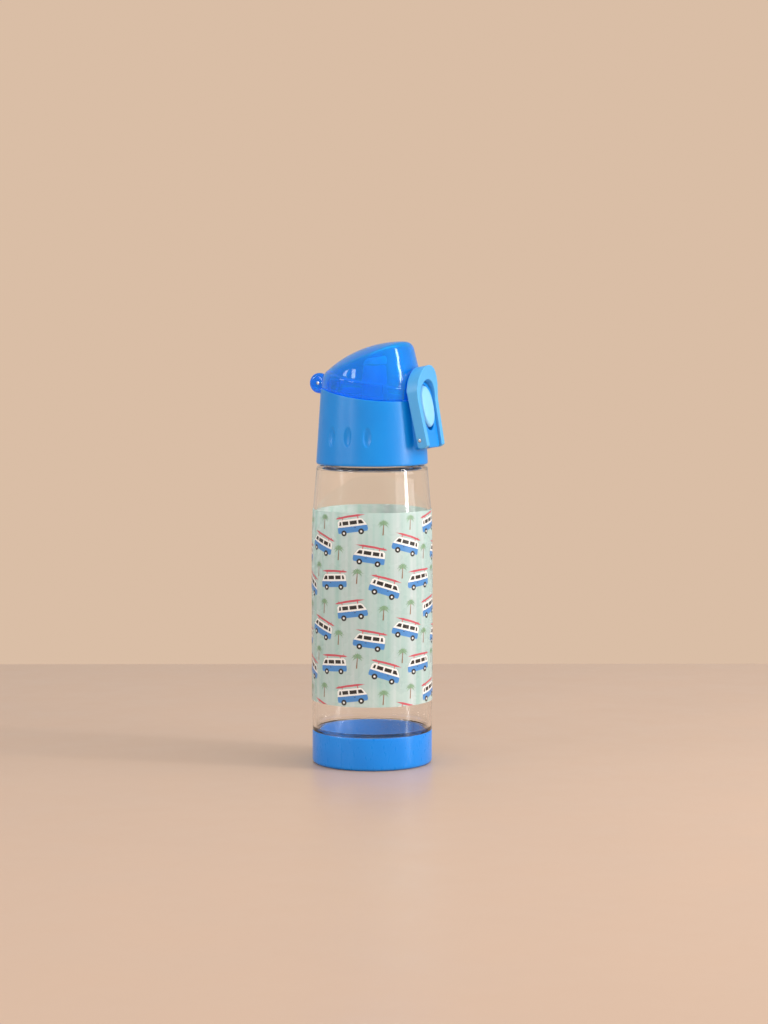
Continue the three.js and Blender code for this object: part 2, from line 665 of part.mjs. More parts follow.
// ---- Flip cap ----
// The cap's outer form, shrunk by an inset: a cone under a domed roof, with a flat front.
function capForm(inset, seamOffset) {
  const side = CAP_SIDE.map(([inwards, up]) => [CAP_RADIUS - inwards - inset, SEAM_Z + up]);
  const cone = turned([
    [0, SEAM_Z - 3],
    [CAP_RADIUS - inset, SEAM_Z - 3],
    ...side,
    [0, ROOF_TOP + OVERSHOOT],
  ]);
  const roof = new THREE.SphereGeometry(1, ROOF_STEPS, ROOF_STEPS / 2)
    .rotateZ(Math.PI / 2)
    .scale(...ROOF_HALF_AXES.map((half) => half - inset))
    .translate(0, ROOF_CREST_Y, ROOF_TOP - ROOF_HALF_AXES[2]);
  const front = block([-FAR, -CAP_FRONT + inset, SEAM_Z - 10], [FAR, FAR, ROOF_TOP + OVERSHOOT]);
  const low = solid(aboveSeam(seamOffset));
  return solid(cone).intersect(solid(roof)).intersect(solid(front)).intersect(low);
}

function ear(side) {
  const outer = sampled(0, Math.PI / 2, 4, (a) => [
    EAR_RADIUS - EAR_ROUNDING + EAR_ROUNDING * Math.cos(a),
    EAR_OUTER - EAR_ROUNDING + EAR_ROUNDING * Math.sin(a),
  ]);
  const outline = [[0, EAR_INNER], [EAR_RADIUS, EAR_INNER], ...outer, [0, EAR_OUTER]];
  return turned(outline, SMALL_STEPS)
    .rotateY((side * Math.PI) / 2)
    .translate(0, HINGE_Y, HINGE_Z);
}

function flipCap() {
  const bossShape = archShape(
    CAP_BOSS_HALF_WIDTH,
    SEAM_Z - 5,
    CAP_BOSS_TOP - CAP_BOSS_HALF_WIDTH,
    CAP_BOSS_TOP,
  );
  const boss = new THREE.ExtrudeGeometry(bossShape, {
    depth: CAP_BOSS_DEPTH,
    bevelEnabled: false,
    curveSegments: CURVE_STEPS,
  })
    .rotateX(Math.PI / 2)
    .translate(0, -CAP_FRONT + CAP_BOSS_DEPTH, 0);
  const raisedBoss = solid(boss).intersect(solid(aboveSeam(SEAM_GAP)));
  const postFoot = SPOUT_TOP + SEAL_GAP + SEAL_THICKNESS + POST_FOOT_GAP;
  const post = solid(rodZ(POST_RADIUS, postFoot, ROOF_TOP, 0, SPOUT_Y)).intersect(
    capForm(CAP_WALL / 2, SEAM_GAP),
  );
  const slotSide = LUG_OUTER + LUG_SIDE_GAP;
  const slotRadius = LUG_RADIUS + LUG_SLOT_GAP;
  const slot = rodX(slotRadius, -slotSide, slotSide, HINGE_Y, HINGE_Z, SMALL_STEPS);
  const slotFoot = block(
    [-slotSide, HINGE_Y - 1.5 * slotRadius, SEAM_Z],
    [slotSide, HINGE_Y + 1.5 * slotRadius, HINGE_Z],
  );
  const holeEnd = EAR_OUTER + OVERSHOOT;
  const hingeHole = rodX(PIN_RADIUS + RUNNING_GAP, -holeEnd, holeEnd, HINGE_Y, HINGE_Z);
  let made = capForm(0, SEAM_GAP).add(raisedBoss).subtract(capForm(CAP_WALL, -5));
  made = made.add(post).add(solid(ear(-1))).add(solid(ear(1)));
  for (const cut of [slot, slotFoot, hingeHole]) {
    made = made.subtract(solid(cut));
  }
  return piece("flip_cap", geometryOf(made), COLOURS.cap, {
    roughness: 0.1,
    transparent: true,
    opacity: 0.6,
  });
}

function capSeal() {
  const discBottom = SPOUT_TOP + SEAL_GAP;
  const discTop = discBottom + SEAL_THICKNESS;
  const grip = POST_RADIUS + GAP;
  const outline = [
    [0, SPOUT_TOP - SEAL_NOSE],
    [SEAL_NOSE_RADIUS, SPOUT_TOP - SEAL_NOSE],
    [SEAL_NOSE_ROOT, discBottom],
    [SPOUT_TIP_RADIUS + SEAL_LIP, discBottom],
    [SPOUT_TIP_RADIUS + SEAL_LIP, discTop],
    [grip + SEAL_GRIP_WALL, discTop + SEAL_GRIP_HEIGHT],
    [grip, discTop + SEAL_GRIP_HEIGHT],
    [grip, discTop],
    [0, discTop],
  ];
  const mesh = piece("cap_seal", turned(outline, SMALL_STEPS), COLOURS.silicone, { roughness: 0.7 });
  mesh.position.y = SPOUT_Y;
  return mesh;
}

// ---- Hinge ----
function hingePin() {
  const half = EAR_OUTER - PIN_SETBACK;
  return piece("hinge_pin", rodX(PIN_RADIUS, -half, half, HINGE_Y, HINGE_Z), COLOURS.metal, {
    metalness: 1,
    roughness: 0.25,
  });
}

function torsionSpring() {
  const pitch = 2 * SPRING_WIRE + SPRING_COIL_GAP;
  const made = coil(SPRING_COIL_RADIUS, SPRING_WIRE, SPRING_TURNS, pitch, SPRING_LEG)
    .translate(0, 0, (-pitch * SPRING_TURNS) / 2)
    .rotateY(Math.PI / 2);
  const mesh = piece("torsion_spring", made, COLOURS.metal, { metalness: 1, roughness: 0.3 });
  mesh.position.set(0, HINGE_Y, HINGE_Z);
  return mesh;
}

// ---- Button and latch ----
function pushButton() {
  const oval = ovalShape(BUTTON_HALF_WIDTH, BUTTON_HALF_HEIGHT);
  const rim = faceSlab(oval, BUTTON_BACK, BUTTON_FRONT, BUTTON_EDGE);
  const dome = new THREE.SphereGeometry(1, SMALL_STEPS, 12)
    .rotateX(Math.PI / 2)
    .scale(BUTTON_HALF_WIDTH - BUTTON_RIM, BUTTON_HALF_HEIGHT - BUTTON_RIM, BUTTON_DOME)
    .translate(0, 0, BUTTON_FRONT - 0.1);
  const made = solid(onFace(rim)).add(solid(onFace(dome)));
  return piece("push_button", geometryOf(made), COLOURS.button, { roughness: 0.35 });
}

function latchSlider() {
  const front = BUTTON_BACK - GAP;
  const bar = block([-LATCH_HALF_WIDTH, LATCH_BOTTOM, -LATCH_REACH], [LATCH_HALF_WIDTH, LATCH_TOP, front]);
  const arm = block(
    [-LATCH_HALF_WIDTH, LATCH_BOTTOM, -LATCH_REACH],
    [LATCH_HALF_WIDTH, LATCH_HOOK_TOP, -LATCH_REACH + LATCH_ARM],
  );
  const hook = block(
    [-LATCH_HALF_WIDTH, LATCH_HOOK_TOP - LATCH_HOOK_HEIGHT, -LATCH_REACH],
    [LATCH_HALF_WIDTH, LATCH_HOOK_TOP, -LATCH_REACH + LATCH_ARM + LATCH_HOOK_NOSE],
  );
  const made = [bar, arm, hook].map((shape) => solid(onFace(shape))).reduce((a, b) => a.add(b));
  return piece("latch_slider", geometryOf(made), COLOURS.silicone, { roughness: 0.5 });
}

function buttonSpring() {
  const room = POCKET_DEPTH + BUTTON_BACK - 2 * GAP - 2 * BUTTON_SPRING_WIRE;
  const pitch = room / BUTTON_SPRING_TURNS;
  const made = coil(BUTTON_SPRING_RADIUS, BUTTON_SPRING_WIRE, BUTTON_SPRING_TURNS, pitch).translate(
    0,
    BUTTON_SPRING_PLACE,
    -POCKET_DEPTH + GAP + BUTTON_SPRING_WIRE,
  );
  return piece("button_spring", onFace(made), COLOURS.metal, { metalness: 1, roughness: 0.3 });
}

// ---- Lock bail ----
function lockBail() {
  const taper = { taper: BOSS_TAPER };
  const outline = archShape(BAIL_HALF_WIDTH, BOSS_FOOT, BAIL_TOP - BAIL_ARCH_HEIGHT, BAIL_TOP, taper);
  const slab = faceSlab(outline, BAIL_BACK, BAIL_FRONT, BAIL_BEVEL);
  const lipSlab = faceSlab(outline, BAIL_BACK + BAIL_BEVEL, BAIL_LIP_FRONT + OVERSHOOT);
  const beforeLip = prismX(
    [
      [BOSS_FOOT - 5, 0],
      [BAIL_LIP_START - 5, 0],
      [BAIL_LIP_START, BAIL_FRONT],
      [BAIL_TOP, BAIL_LIP_FRONT],
      [BAIL_TOP + 5, BAIL_LIP_FRONT],
      [BAIL_TOP + 5, FAR],
      [BOSS_FOOT - 5, FAR],
    ],
    -FAR,
    FAR,
  );
  const inner = BAIL_HALF_WIDTH - BAIL_LIMB;
  const windowShape = archShape(inner, BOSS_FOOT - 5, BAIL_WINDOW_TOP - inner, BAIL_WINDOW_TOP, taper);
  const opening = faceSlab(windowShape, BAIL_BACK - 5, BAIL_LIP_FRONT + 5);
  const heelRadius = BAIL_PIVOT_Y - BOSS_FOOT;
  const heelRoom = block([-FAR, BOSS_FOOT - 5, -FAR / 3], [FAR, BAIL_PIVOT_Y, FAR / 3]);
  const heel = rodX(heelRadius, -FAR, FAR, BAIL_PIVOT_Y, BAIL_PIVOT_Z + BAIL_HEEL_FORWARD, SMALL_STEPS);
  const pinHole = rodX(PIN_RADIUS + RUNNING_GAP, -FAR, FAR, BAIL_PIVOT_Y, BAIL_PIVOT_Z);
  const capRoom = block([-FAR, -CAP_FRONT - BAIL_SWING_GAP, SEAM_Z - 1], [FAR, 0, SEAM_Z + FAR]);
  const heelCut = solid(onFace(heelRoom)).subtract(solid(onFace(heel)));
  const lip = solid(onFace(lipSlab)).subtract(solid(onFace(beforeLip)));
  let made = solid(onFace(slab)).add(lip).subtract(heelCut);
  for (const cut of [onFace(opening), onFace(pinHole), capRoom]) {
    made = made.subtract(solid(cut));
  }
  return piece("lock_bail", geometryOf(made), COLOURS.lid);
}

function bailPin(name, side) {
  const limbHalfWidth = BAIL_HALF_WIDTH - BOSS_TAPER * (BAIL_TOP - BAIL_ARCH_HEIGHT - BAIL_PIVOT_Y);
  const ends = [BAIL_PIN_INNER, limbHalfWidth - PIN_SETBACK].map((x) => x * side).sort((a, b) => a - b);
  const rod = onFace(rodX(PIN_RADIUS, ends[0], ends[1], BAIL_PIVOT_Y, BAIL_PIVOT_Z));
  return piece(name, rod, COLOURS.metal, { metalness: 1, roughness: 0.25 });
}

// ---- Assembly ----
const bottle = new THREE.Group();
bottle.add(baseCup(), bottleBody(), printedSleeve());

const lid = new THREE.Group();
lid.add(neckGasket(), lidLiner(), lidShell(), spout(), ventValve(), hingePin(), torsionSpring());
lid.add(buttonSpring(), bailPin("bail_pin_left", -1), bailPin("bail_pin_right", 1));

const cap = new THREE.Group();
cap.add(flipCap(), capSeal());

const release = new THREE.Group();
release.add(pushButton(), latchSlider());

lid.add(cap, release, lockBail());

const waterBottle = new THREE.Group();
waterBottle.add(bottle, lid);

export default waterBottle;
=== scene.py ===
"""Looks for the child's drinking bottle: fine surfaces, materials, printed film, light and camera."""
import json
import math

import bmesh
import bpy
import numpy as np
from mathutils import Matrix, Vector


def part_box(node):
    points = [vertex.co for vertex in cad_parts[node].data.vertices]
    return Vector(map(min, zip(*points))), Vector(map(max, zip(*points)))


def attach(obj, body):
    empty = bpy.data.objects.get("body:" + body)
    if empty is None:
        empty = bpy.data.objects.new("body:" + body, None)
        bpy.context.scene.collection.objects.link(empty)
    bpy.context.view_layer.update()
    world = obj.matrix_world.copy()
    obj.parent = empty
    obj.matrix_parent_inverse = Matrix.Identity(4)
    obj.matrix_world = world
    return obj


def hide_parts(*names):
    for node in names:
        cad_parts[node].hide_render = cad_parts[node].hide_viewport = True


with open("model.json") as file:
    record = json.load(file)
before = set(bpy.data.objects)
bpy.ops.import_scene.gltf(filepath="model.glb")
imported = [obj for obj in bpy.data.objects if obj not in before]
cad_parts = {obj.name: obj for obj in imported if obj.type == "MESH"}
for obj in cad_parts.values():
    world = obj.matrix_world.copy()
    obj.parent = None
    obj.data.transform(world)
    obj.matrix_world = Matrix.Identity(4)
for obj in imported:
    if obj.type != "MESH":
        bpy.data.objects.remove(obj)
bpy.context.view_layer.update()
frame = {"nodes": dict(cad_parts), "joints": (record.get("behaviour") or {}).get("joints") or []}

MM = 0.001
JOINTS = {joint["name"]: joint for joint in frame["joints"]}


def millimetres(values):
    return [value / MM for value in values]


def node_span(node):
    """Lowest and highest corner of a CAD node, in millimetres."""
    low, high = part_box(node)
    return Vector(millimetres(low)), Vector(millimetres(high))


# ---- Sizes, in millimetres: the first block is read from the CAD frame ----
BASE_HIGH = node_span("base_cup")[1]
BODY_LOW, BODY_HIGH = node_span("bottle_body")
FILM_LOW, FILM_HIGH = node_span("printed_sleeve")
SHELL_LOW, SHELL_HIGH = node_span("lid_shell")
GASKET_LOW, GASKET_HIGH = node_span("neck_gasket")
LINER_LOW, LINER_HIGH = node_span("lid_liner")
SPOUT_LOW, SPOUT_HIGH = node_span("spout")
SEAL_LOW, SEAL_HIGH = node_span("cap_seal")
PIN_LOW, PIN_HIGH = node_span("hinge_pin")
CAP_LOW, CAP_HIGH = node_span("flip_cap")
VENT_LOW, VENT_HIGH = node_span("vent_valve")
HINGE_Y, HINGE_Z = millimetres(JOINTS["cap_flip"]["pos_m"])[1:]

GAP = 0.3
RUNNING_GAP = 0.1
BASE_RADIUS = BASE_HIGH.x
BASE_WALL = 1.6
BASE_FLOOR = 2.0
FOOT_RADIUS = BASE_RADIUS - BASE_WALL - GAP
BODY_RADIUS = BODY_HIGH.x
BODY_WALL = 2.0
BODY_FLOOR = 2.7
WAIST_BOTTOM = 100.0
WAIST_NARROWING = 0.6
SHOULDER_RADIUS = 30.9
SHOULDER_Z = 166.2
NECK_RADIUS = 23.6
THREAD_STARTS = 3
THREAD_LEAD = 12.0
THREAD_DEPTH = 1.2
THREAD_HEIGHT = 1.5
THREAD_LOW = 177
NECK_THREAD_TURN = 150
LINER_THREAD_TURN = 100
LINER_THREAD_FIRST = 25
FILM_GAP = 0.15
FILM_THICKNESS = 0.15
INK_STEP = 0.02
SHELL_RADIUS = SHELL_HIGH.x
SHELL_TAPER = 0.064
SHELL_WALL = 1.8
LEDGE_RADIUS = 23.0
SEAM_Z = 202.5
SEAM_RISE = 5.8
SEAM_RISE_START = 9 - SHELL_RADIUS
SEAM_RISE_LENGTH = 40.0
SEAM_RISE_END = 1.05
SEAM_GAP = 0.4
DIMPLE_Z = 183.6
DIMPLE_STEP = 21
DIMPLE_SETBACK = 0.7
DIMPLE_SIZE = (1.6, 2.5, 6.2)
SPOUT_Y = (SPOUT_LOW.y + SPOUT_HIGH.y) / 2
VENT_Y = (VENT_LOW.y + VENT_HIGH.y) / 2
CAP_WALL = 1.8
CAP_FRONT = -CAP_LOW.y
ROOF_TOP = CAP_HIGH.z
CAP_RADIUS = 29.1
ROOF_CREST_Y = -0.653 * CAP_RADIUS
ROOF_HALF_AXES = (1.718 * CAP_RADIUS, 2.22 * CAP_RADIUS, 2.13 * CAP_RADIUS)
EAR_RADIUS = HINGE_Z - 205.8
EAR_INNER = 6.2
EAR_OUTER = 9.9
LUG_RADIUS = 5.2
LUG_INNER = 3.4
LUG_OUTER = 5.8
PIN_RADIUS = PIN_HIGH.z - HINGE_Z
POST_RADIUS = 3.4

# The boss's face leans back; in its own frame x is across, y up the face and z out of it.
FACE_LEAN = math.radians(11.3)
FACE_ORIGIN = Vector((0, -33.7, 199.5))
FACE_MATRIX = Matrix.Translation(FACE_ORIGIN) @ Matrix.Rotation(math.pi / 2 - FACE_LEAN, 4, "X")
BOSS_HALF_WIDTH = 9.0
BOSS_TAPER = 0.065
BOSS_FOOT = -22.9
BOSS_ARCH_TOP = 13.9
BUTTON_HALF_WIDTH = 6.9
BUTTON_HALF_HEIGHT = 11.6
BAIL_HALF_WIDTH = 13.3
BAIL_LIMB = 3.9
BAIL_TOP = 21.9
BAIL_FRONT = 1.4
BAIL_LIP_START = 7.0
BAIL_LIP_FRONT = 5.8
BAIL_ARCH_TOP = 14.3
BAIL_PIVOT_Y = -18.3
BAIL_PIVOT_Z = -2.8

ROUND_STEPS = 192
SMALL_STEPS = 64
SHELL_VOXEL = 0.33
SHELL_FACES_KEPT = 0.45
BAIL_VOXEL = 0.22
FAR = 40  # beyond every surface of the bail

# Lays a shape's own z axis along X, its x along Y and its y upright.
ALONG_X = Matrix(((0, 0, 1, 0), (1, 0, 0, 0), (0, 1, 0, 0), (0, 0, 0, 1)))


# ---- Mesh helpers: all take millimetres ----
def new_object(name, vertices, faces):
    mesh = bpy.data.meshes.new(name)
    mesh.from_pydata([Vector(v) * MM for v in vertices], [], faces)
    made = bpy.data.objects.new(name, mesh)
    bpy.context.scene.collection.objects.link(made)
    face_outwards(made)
    return made


def face_outwards(obj):
    work = bmesh.new()
    work.from_mesh(obj.data)
    bmesh.ops.recalc_face_normals(work, faces=work.faces)
    work.to_mesh(obj.data)
    work.free()


def soften(obj, degrees=40):
    """Smooth shading, with creases where faces meet more sharply than this."""
    for face in obj.data.polygons:
        face.use_smooth = True
    obj.data.set_sharp_from_angle(angle=math.radians(degrees))
    return obj


def filleted(points, steps=5):
    """A closed outline of (a, b, radius) points with each corner rounded to its radius."""
    out = []
    count = len(points)
    for i, (a, b, radius) in enumerate(points):
        here = Vector((a, b))
        if radius <= 0:
            out.append((a, b))
            continue
        before = (Vector(points[i - 1][:2]) - here).normalized()
        after = (Vector(points[(i + 1) % count][:2]) - here).normalized()
        half = before.angle(after) / 2
        centre = here + (before + after).normalized() * radius / math.sin(half)
        start = here + before * radius / math.tan(half) - centre
        end = here + after * radius / math.tan(half) - centre
        turn = start.angle_signed(end)
        for k in range(steps + 1):
            arm = start.copy()
            arm.rotate(Matrix.Rotation(-turn * k / steps, 2))
            out.append(tuple(centre + arm))
    return out


def turned(name, outline, steps=ROUND_STEPS, centre=(0, 0), squeeze=(1, 1)):
    """A solid of revolution about +Z from (radius, height) points; squeeze makes it oval."""
    vertices = []
    rings = []
    for radius, height in outline:
        if radius < 1e-6:
            vertices.append((centre[0], centre[1], height))
            rings.append([len(vertices) - 1] * steps)
            continue
        ring = []
        for k in range(steps):
            angle = 2 * math.pi * k / steps
            x = centre[0] + radius * squeeze[0] * math.cos(angle)
            y = centre[1] + radius * squeeze[1] * math.sin(angle)
            vertices.append((x, y, height))
            ring.append(len(vertices) - 1)
        rings.append(ring)
    faces = []
    for low, high in zip(rings, rings[1:] + rings[:1]):
        for k in range(steps):
            n = (k + 1) % steps
            corners = [low[k], low[n], high[n], high[k]]
            face = list(dict.fromkeys(corners))
            if len(face) > 2:
                faces.append(face)
    return new_object(name, vertices, faces)


def prism(name, outline, back, front, matrix=None):
    """An upright prism of a closed outline of (x, y) points, moved by a matrix in millimetres."""
    matrix = matrix or Matrix.Identity(4)
    count = len(outline)
    vertices = [matrix @ Vector((x, y, z)) for z in (back, front) for x, y in outline]
    faces = [[k, (k + 1) % count, count + (k + 1) % count, count + k] for k in range(count)]
    faces += [list(range(count))[::-1], list(range(count, 2 * count))]
    return new_object(name, vertices, faces)


def rod_x(name, radius, x0, x1, y, z, steps=SMALL_STEPS):
    """A rod along X."""
    turn = np.linspace(0, 2 * math.pi, steps, False)
    ring = [(radius * math.cos(a), radius * math.sin(a)) for a in turn]
    return prism(name, ring, x0, x1, Matrix.Translation((0, y, z)) @ ALONG_X)


def box_between(name, low, high):
    outline = [(low[0], low[1]), (high[0], low[1]), (high[0], high[1]), (low[0], high[1])]
    return prism(name, outline, low[2], high[2])


def arch(half_width, foot, spring, top, foot_radius=0, steps=24):
    """Half an ellipse on sides that draw in towards the foot, anticlockwise from the foot."""
    foot_half_width = half_width - BOSS_TAPER * (spring - foot)
    points = filleted(
        [
            (-foot_half_width, foot, foot_radius),
            (foot_half_width, foot, foot_radius),
            (half_width, spring, 0),
            (-half_width, spring, 0),
        ]
    )
    curve = []
    for k in range(1, steps):
        angle = math.pi * k / steps
        curve.append((half_width * math.cos(angle), spring + (top - spring) * math.sin(angle)))
    return points[:-1] + curve + points[-1:]


def oval(half_width, half_height, centre=0, steps=64):
    angles = np.linspace(0, 2 * math.pi, steps, False)
    return [(half_width * math.cos(a), centre + half_height * math.sin(a)) for a in angles]


def swept(name, path, radius, sides=10, closed=False):
    """A round wire along a list of points, with its ends shut or joined to each other."""
    points = [Vector(p) for p in path]
    last = len(points) - 1
    up = Vector((1, 0, 0))
    vertices = []
    for i, point in enumerate(points):
        after = (i + 1) % (last + 1) if closed else min(i + 1, last)
        before = i - 1 if closed else max(i - 1, 0)
        ahead = (points[after] - points[before]).normalized()
        side = ahead.cross(up)
        if side.length < 0.05:
            side = ahead.cross(Vector((0, 1, 0)))
        side.normalize()
        other = ahead.cross(side)
        for k in range(sides):
            angle = 2 * math.pi * k / sides
            vertices.append(point + radius * (math.cos(angle) * side + math.sin(angle) * other))
    faces = []
    for i in range(last + 1 if closed else last):
        following = (i + 1) % (last + 1)
        for k in range(sides):
            n = (k + 1) % sides
            faces.append([i * sides + k, i * sides + n, following * sides + n, following * sides + k])
    if not closed:
        faces.append(list(range(sides)))
        faces.append(list(range(last * sides, (last + 1) * sides)))
    return new_object(name, vertices, faces)


def apply_modifiers(obj):
    graph = bpy.context.evaluated_depsgraph_get()
    mesh = bpy.data.meshes.new_from_object(obj.evaluated_get(graph))
    obj.modifiers.clear()
    obj.data = mesh


def combine(obj, other, operation):
    """Joins other to obj or cuts it away, and removes other."""
    step = obj.modifiers.new("combine", "BOOLEAN")
    step.operation = operation
    step.solver = "MANIFOLD"
    step.object = other
    apply_modifiers(obj)
    bpy.data.objects.remove(other)


def add(obj, *others):
    for other in others:
        combine(obj, other, "UNION")


def cut(obj, *others):
    for other in others:
        combine(obj, other, "DIFFERENCE")


def moulded(obj, voxel, passes):
    """Rebuilds a solid as an even skin with its edges eased, as a moulding's are."""
    skin = obj.modifiers.new("skin", "REMESH")
    skin.mode = "VOXEL"
    skin.voxel_size = voxel * MM
    ease = obj.modifiers.new("ease", "SMOOTH")
    ease.factor = 0.5
    ease.iterations = passes
    apply_modifiers(obj)
    for face in obj.data.polygons:
        face.use_smooth = True
    return obj


def join(name, parts):
    """One object out of several."""
    work = bmesh.new()
    for part in parts:
        work.from_mesh(part.data)
        bpy.data.objects.remove(part)
    mesh = bpy.data.meshes.new(name)
    work.to_mesh(mesh)
    work.free()
    made = bpy.data.objects.new(name, mesh)
    bpy.context.scene.collection.objects.link(made)
    return made


# ---- Materials ----
def shader_tree(name):
    material = bpy.data.materials.new(name)
    material.use_nodes = True
    nodes = material.node_tree.nodes
    return material, nodes, material.node_tree.links, nodes["Principled BSDF"]


def noise(nodes, links, scale, detail=3.0, stretch=(1, 1, 1)):
    """Noise in the object's own space; scale is in features per metre."""
    place = nodes.new("ShaderNodeTexCoord")
    mapping = nodes.new("ShaderNodeMapping")
    mapping.inputs["Scale"].default_value = stretch
    texture = nodes.new("ShaderNodeTexNoise")
    texture.inputs["Scale"].default_value = scale
    texture.inputs["Detail"].default_value = detail
    links.new(place.outputs["Object"], mapping.inputs["Vector"])
    links.new(mapping.outputs["Vector"], texture.inputs["Vector"])
    return texture.outputs["Fac"]


def spread(nodes, links, source, low, high):
    """Maps 0.3 to 0.7 of a noise onto low to high."""
    ramp = nodes.new("ShaderNodeMapRange")
    ramp.inputs["From Min"].default_value = 0.3
    ramp.inputs["From Max"].default_value = 0.7
    ramp.inputs["To Min"].default_value = low
    ramp.inputs["To Max"].default_value = high
    links.new(source, ramp.inputs["Value"])
    return ramp.outputs["Result"]


def bump(nodes, links, shader, source, height, distance=0.0001):
    made = nodes.new("ShaderNodeBump")
    made.inputs["Strength"].default_value = height
    made.inputs["Distance"].default_value = distance
    links.new(source, made.inputs["Height"])
    links.new(made.outputs["Normal"], shader.inputs["Normal"])


def tinted(nodes, links, shader, source, colour, other):
    """Colour that drifts a little between two values."""
    mix = nodes.new("ShaderNodeMix")
    mix.data_type = "RGBA"
    mix.inputs["A"].default_value = (*colour, 1)
    mix.inputs["B"].default_value = (*other, 1)
    links.new(source, mix.inputs["Factor"])
    links.new(mix.outputs["Result"], shader.inputs["Base Color"])


def satin_plastic(name, colour, deeper, rough=0.34, coat=0.25):
    """Injection-moulded plastic: fine spark-eroded texture, faint handling scuffs, soft gloss."""
    material, nodes, links, shader = shader_tree(name)
    cloud = noise(nodes, links, 60)
    grain = noise(nodes, links, 5200, 2)
    scuff = noise(nodes, links, 700, 6, (1, 1, 0.25))
    tinted(nodes, links, shader, spread(nodes, links, cloud, 0, 1), colour, deeper)
    links.new(spread(nodes, links, scuff, rough - 0.05, rough + 0.07), shader.inputs["Roughness"])
    bump(nodes, links, shader, grain, 0.12, 0.00006)
    shader.inputs["IOR"].default_value = 1.5
    shader.inputs["Coat Weight"].default_value = coat
    shader.inputs["Coat Roughness"].default_value = 0.22
    return material


def lets_light_in(material, nodes, links, shader, tint):
    """Lamps reach what is behind the surface, as they do through clear plastic."""
    path = nodes.new("ShaderNodeLightPath")
    clear = nodes.new("ShaderNodeBsdfTransparent")
    clear.inputs["Color"].default_value = (*tint, 1)
    mix = nodes.new("ShaderNodeMixShader")
    links.new(path.outputs["Is Shadow Ray"], mix.inputs["Fac"])
    links.new(shader.outputs["BSDF"], mix.inputs[1])
    links.new(clear.outputs["BSDF"], mix.inputs[2])
    links.new(mix.outputs["Shader"], nodes["Material Output"].inputs["Surface"])
    return material


def clear_plastic():
    material, nodes, links, shader = shader_tree("clear_plastic")
    wave = noise(nodes, links, 45, 1, (1, 1, 0.3))
    scuff = noise(nodes, links, 900, 5, (1, 1, 0.2))
    shader.inputs["Base Color"].default_value = (0.985, 0.985, 0.98, 1)
    shader.inputs["Transmission Weight"].default_value = 1
    shader.inputs["IOR"].default_value = 1.5
    links.new(spread(nodes, links, scuff, 0.0, 0.035), shader.inputs["Roughness"])
    bump(nodes, links, shader, wave, 0.15, 0.0004)
    return lets_light_in(material, nodes, links, shader, (0.97, 0.97, 0.96))


def cap_plastic():
    material, nodes, links, shader = shader_tree("cap_plastic")
    cloud = noise(nodes, links, 55)
    scuff = noise(nodes, links, 800, 5)
    tinted(nodes, links, shader, spread(nodes, links, cloud, 0, 1), (0.0, 0.44, 0.93), (0.0, 0.4, 0.9))
    links.new(spread(nodes, links, scuff, 0.03, 0.09), shader.inputs["Roughness"])
    bump(nodes, links, shader, cloud, 0.05, 0.0003)
    shader.inputs["Transmission Weight"].default_value = 0.72
    shader.inputs["IOR"].default_value = 1.5
    return lets_light_in(material, nodes, links, shader, (0.25, 0.5, 0.95))


def film():
    """Tinted print film: part of what is behind it shows through."""
    material, nodes, links, shader = shader_tree("print_film")
    streak = noise(nodes, links, 260, 4, (1, 1, 0.02))
    cloud = noise(nodes, links, 90, 3)
    tinted(nodes, links, shader, spread(nodes, links, streak, 0, 1), (0.5, 0.72, 0.68), (0.74, 0.83, 0.84))
    links.new(spread(nodes, links, cloud, 0.22, 0.34), shader.inputs["Roughness"])
    bump(nodes, links, shader, cloud, 0.04, 0.0003)
    clear = nodes.new("ShaderNodeBsdfTransparent")
    clear.inputs["Color"].default_value = (0.9, 0.97, 0.95, 1)
    mix = nodes.new("ShaderNodeMixShader")
    mix.inputs["Fac"].default_value = 0.62
    links.new(clear.outputs["BSDF"], mix.inputs[1])
    links.new(shader.outputs["BSDF"], mix.inputs[2])
    links.new(mix.outputs["Shader"], nodes["Material Output"].inputs["Surface"])
    return material


def ink(name, colour, deeper):
    """Printed ink: slightly uneven cover, a little glossier than the film."""
    material, nodes, links, shader = shader_tree(name)
    grain = noise(nodes, links, 2600, 3)
    tinted(nodes, links, shader, spread(nodes, links, grain, 0, 1), colour, deeper)
    links.new(spread(nodes, links, grain, 0.24, 0.36), shader.inputs["Roughness"])
    bump(nodes, links, shader, grain, 0.05, 0.00002)
    return material


def silicone():
    material, nodes, links, shader = shader_tree("silicone")
    cloud = noise(nodes, links, 150)
    tinted(nodes, links, shader, spread(nodes, links, cloud, 0, 1), (0.86, 0.87, 0.86), (0.8, 0.82, 0.82))
    links.new(spread(nodes, links, noise(nodes, links, 1800, 4), 0.45, 0.6), shader.inputs["Roughness"])
    bump(nodes, links, shader, cloud, 0.1, 0.0002)
    shader.inputs["Subsurface Weight"].default_value = 0.2
    shader.inputs["Subsurface Scale"].default_value = 0.002
    return material


def steel():
    material, nodes, links, shader = shader_tree("steel")
    drawn = noise(nodes, links, 3000, 3, (0.1, 1, 1))
    shader.inputs["Metallic"].default_value = 1
    tinted(nodes, links, shader, spread(nodes, links, drawn, 0, 1), (0.72, 0.73, 0.75), (0.6, 0.61, 0.63))
    links.new(spread(nodes, links, drawn, 0.16, 0.32), shader.inputs["Roughness"])
    bump(nodes, links, shader, drawn, 0.1, 0.00003)
    return material


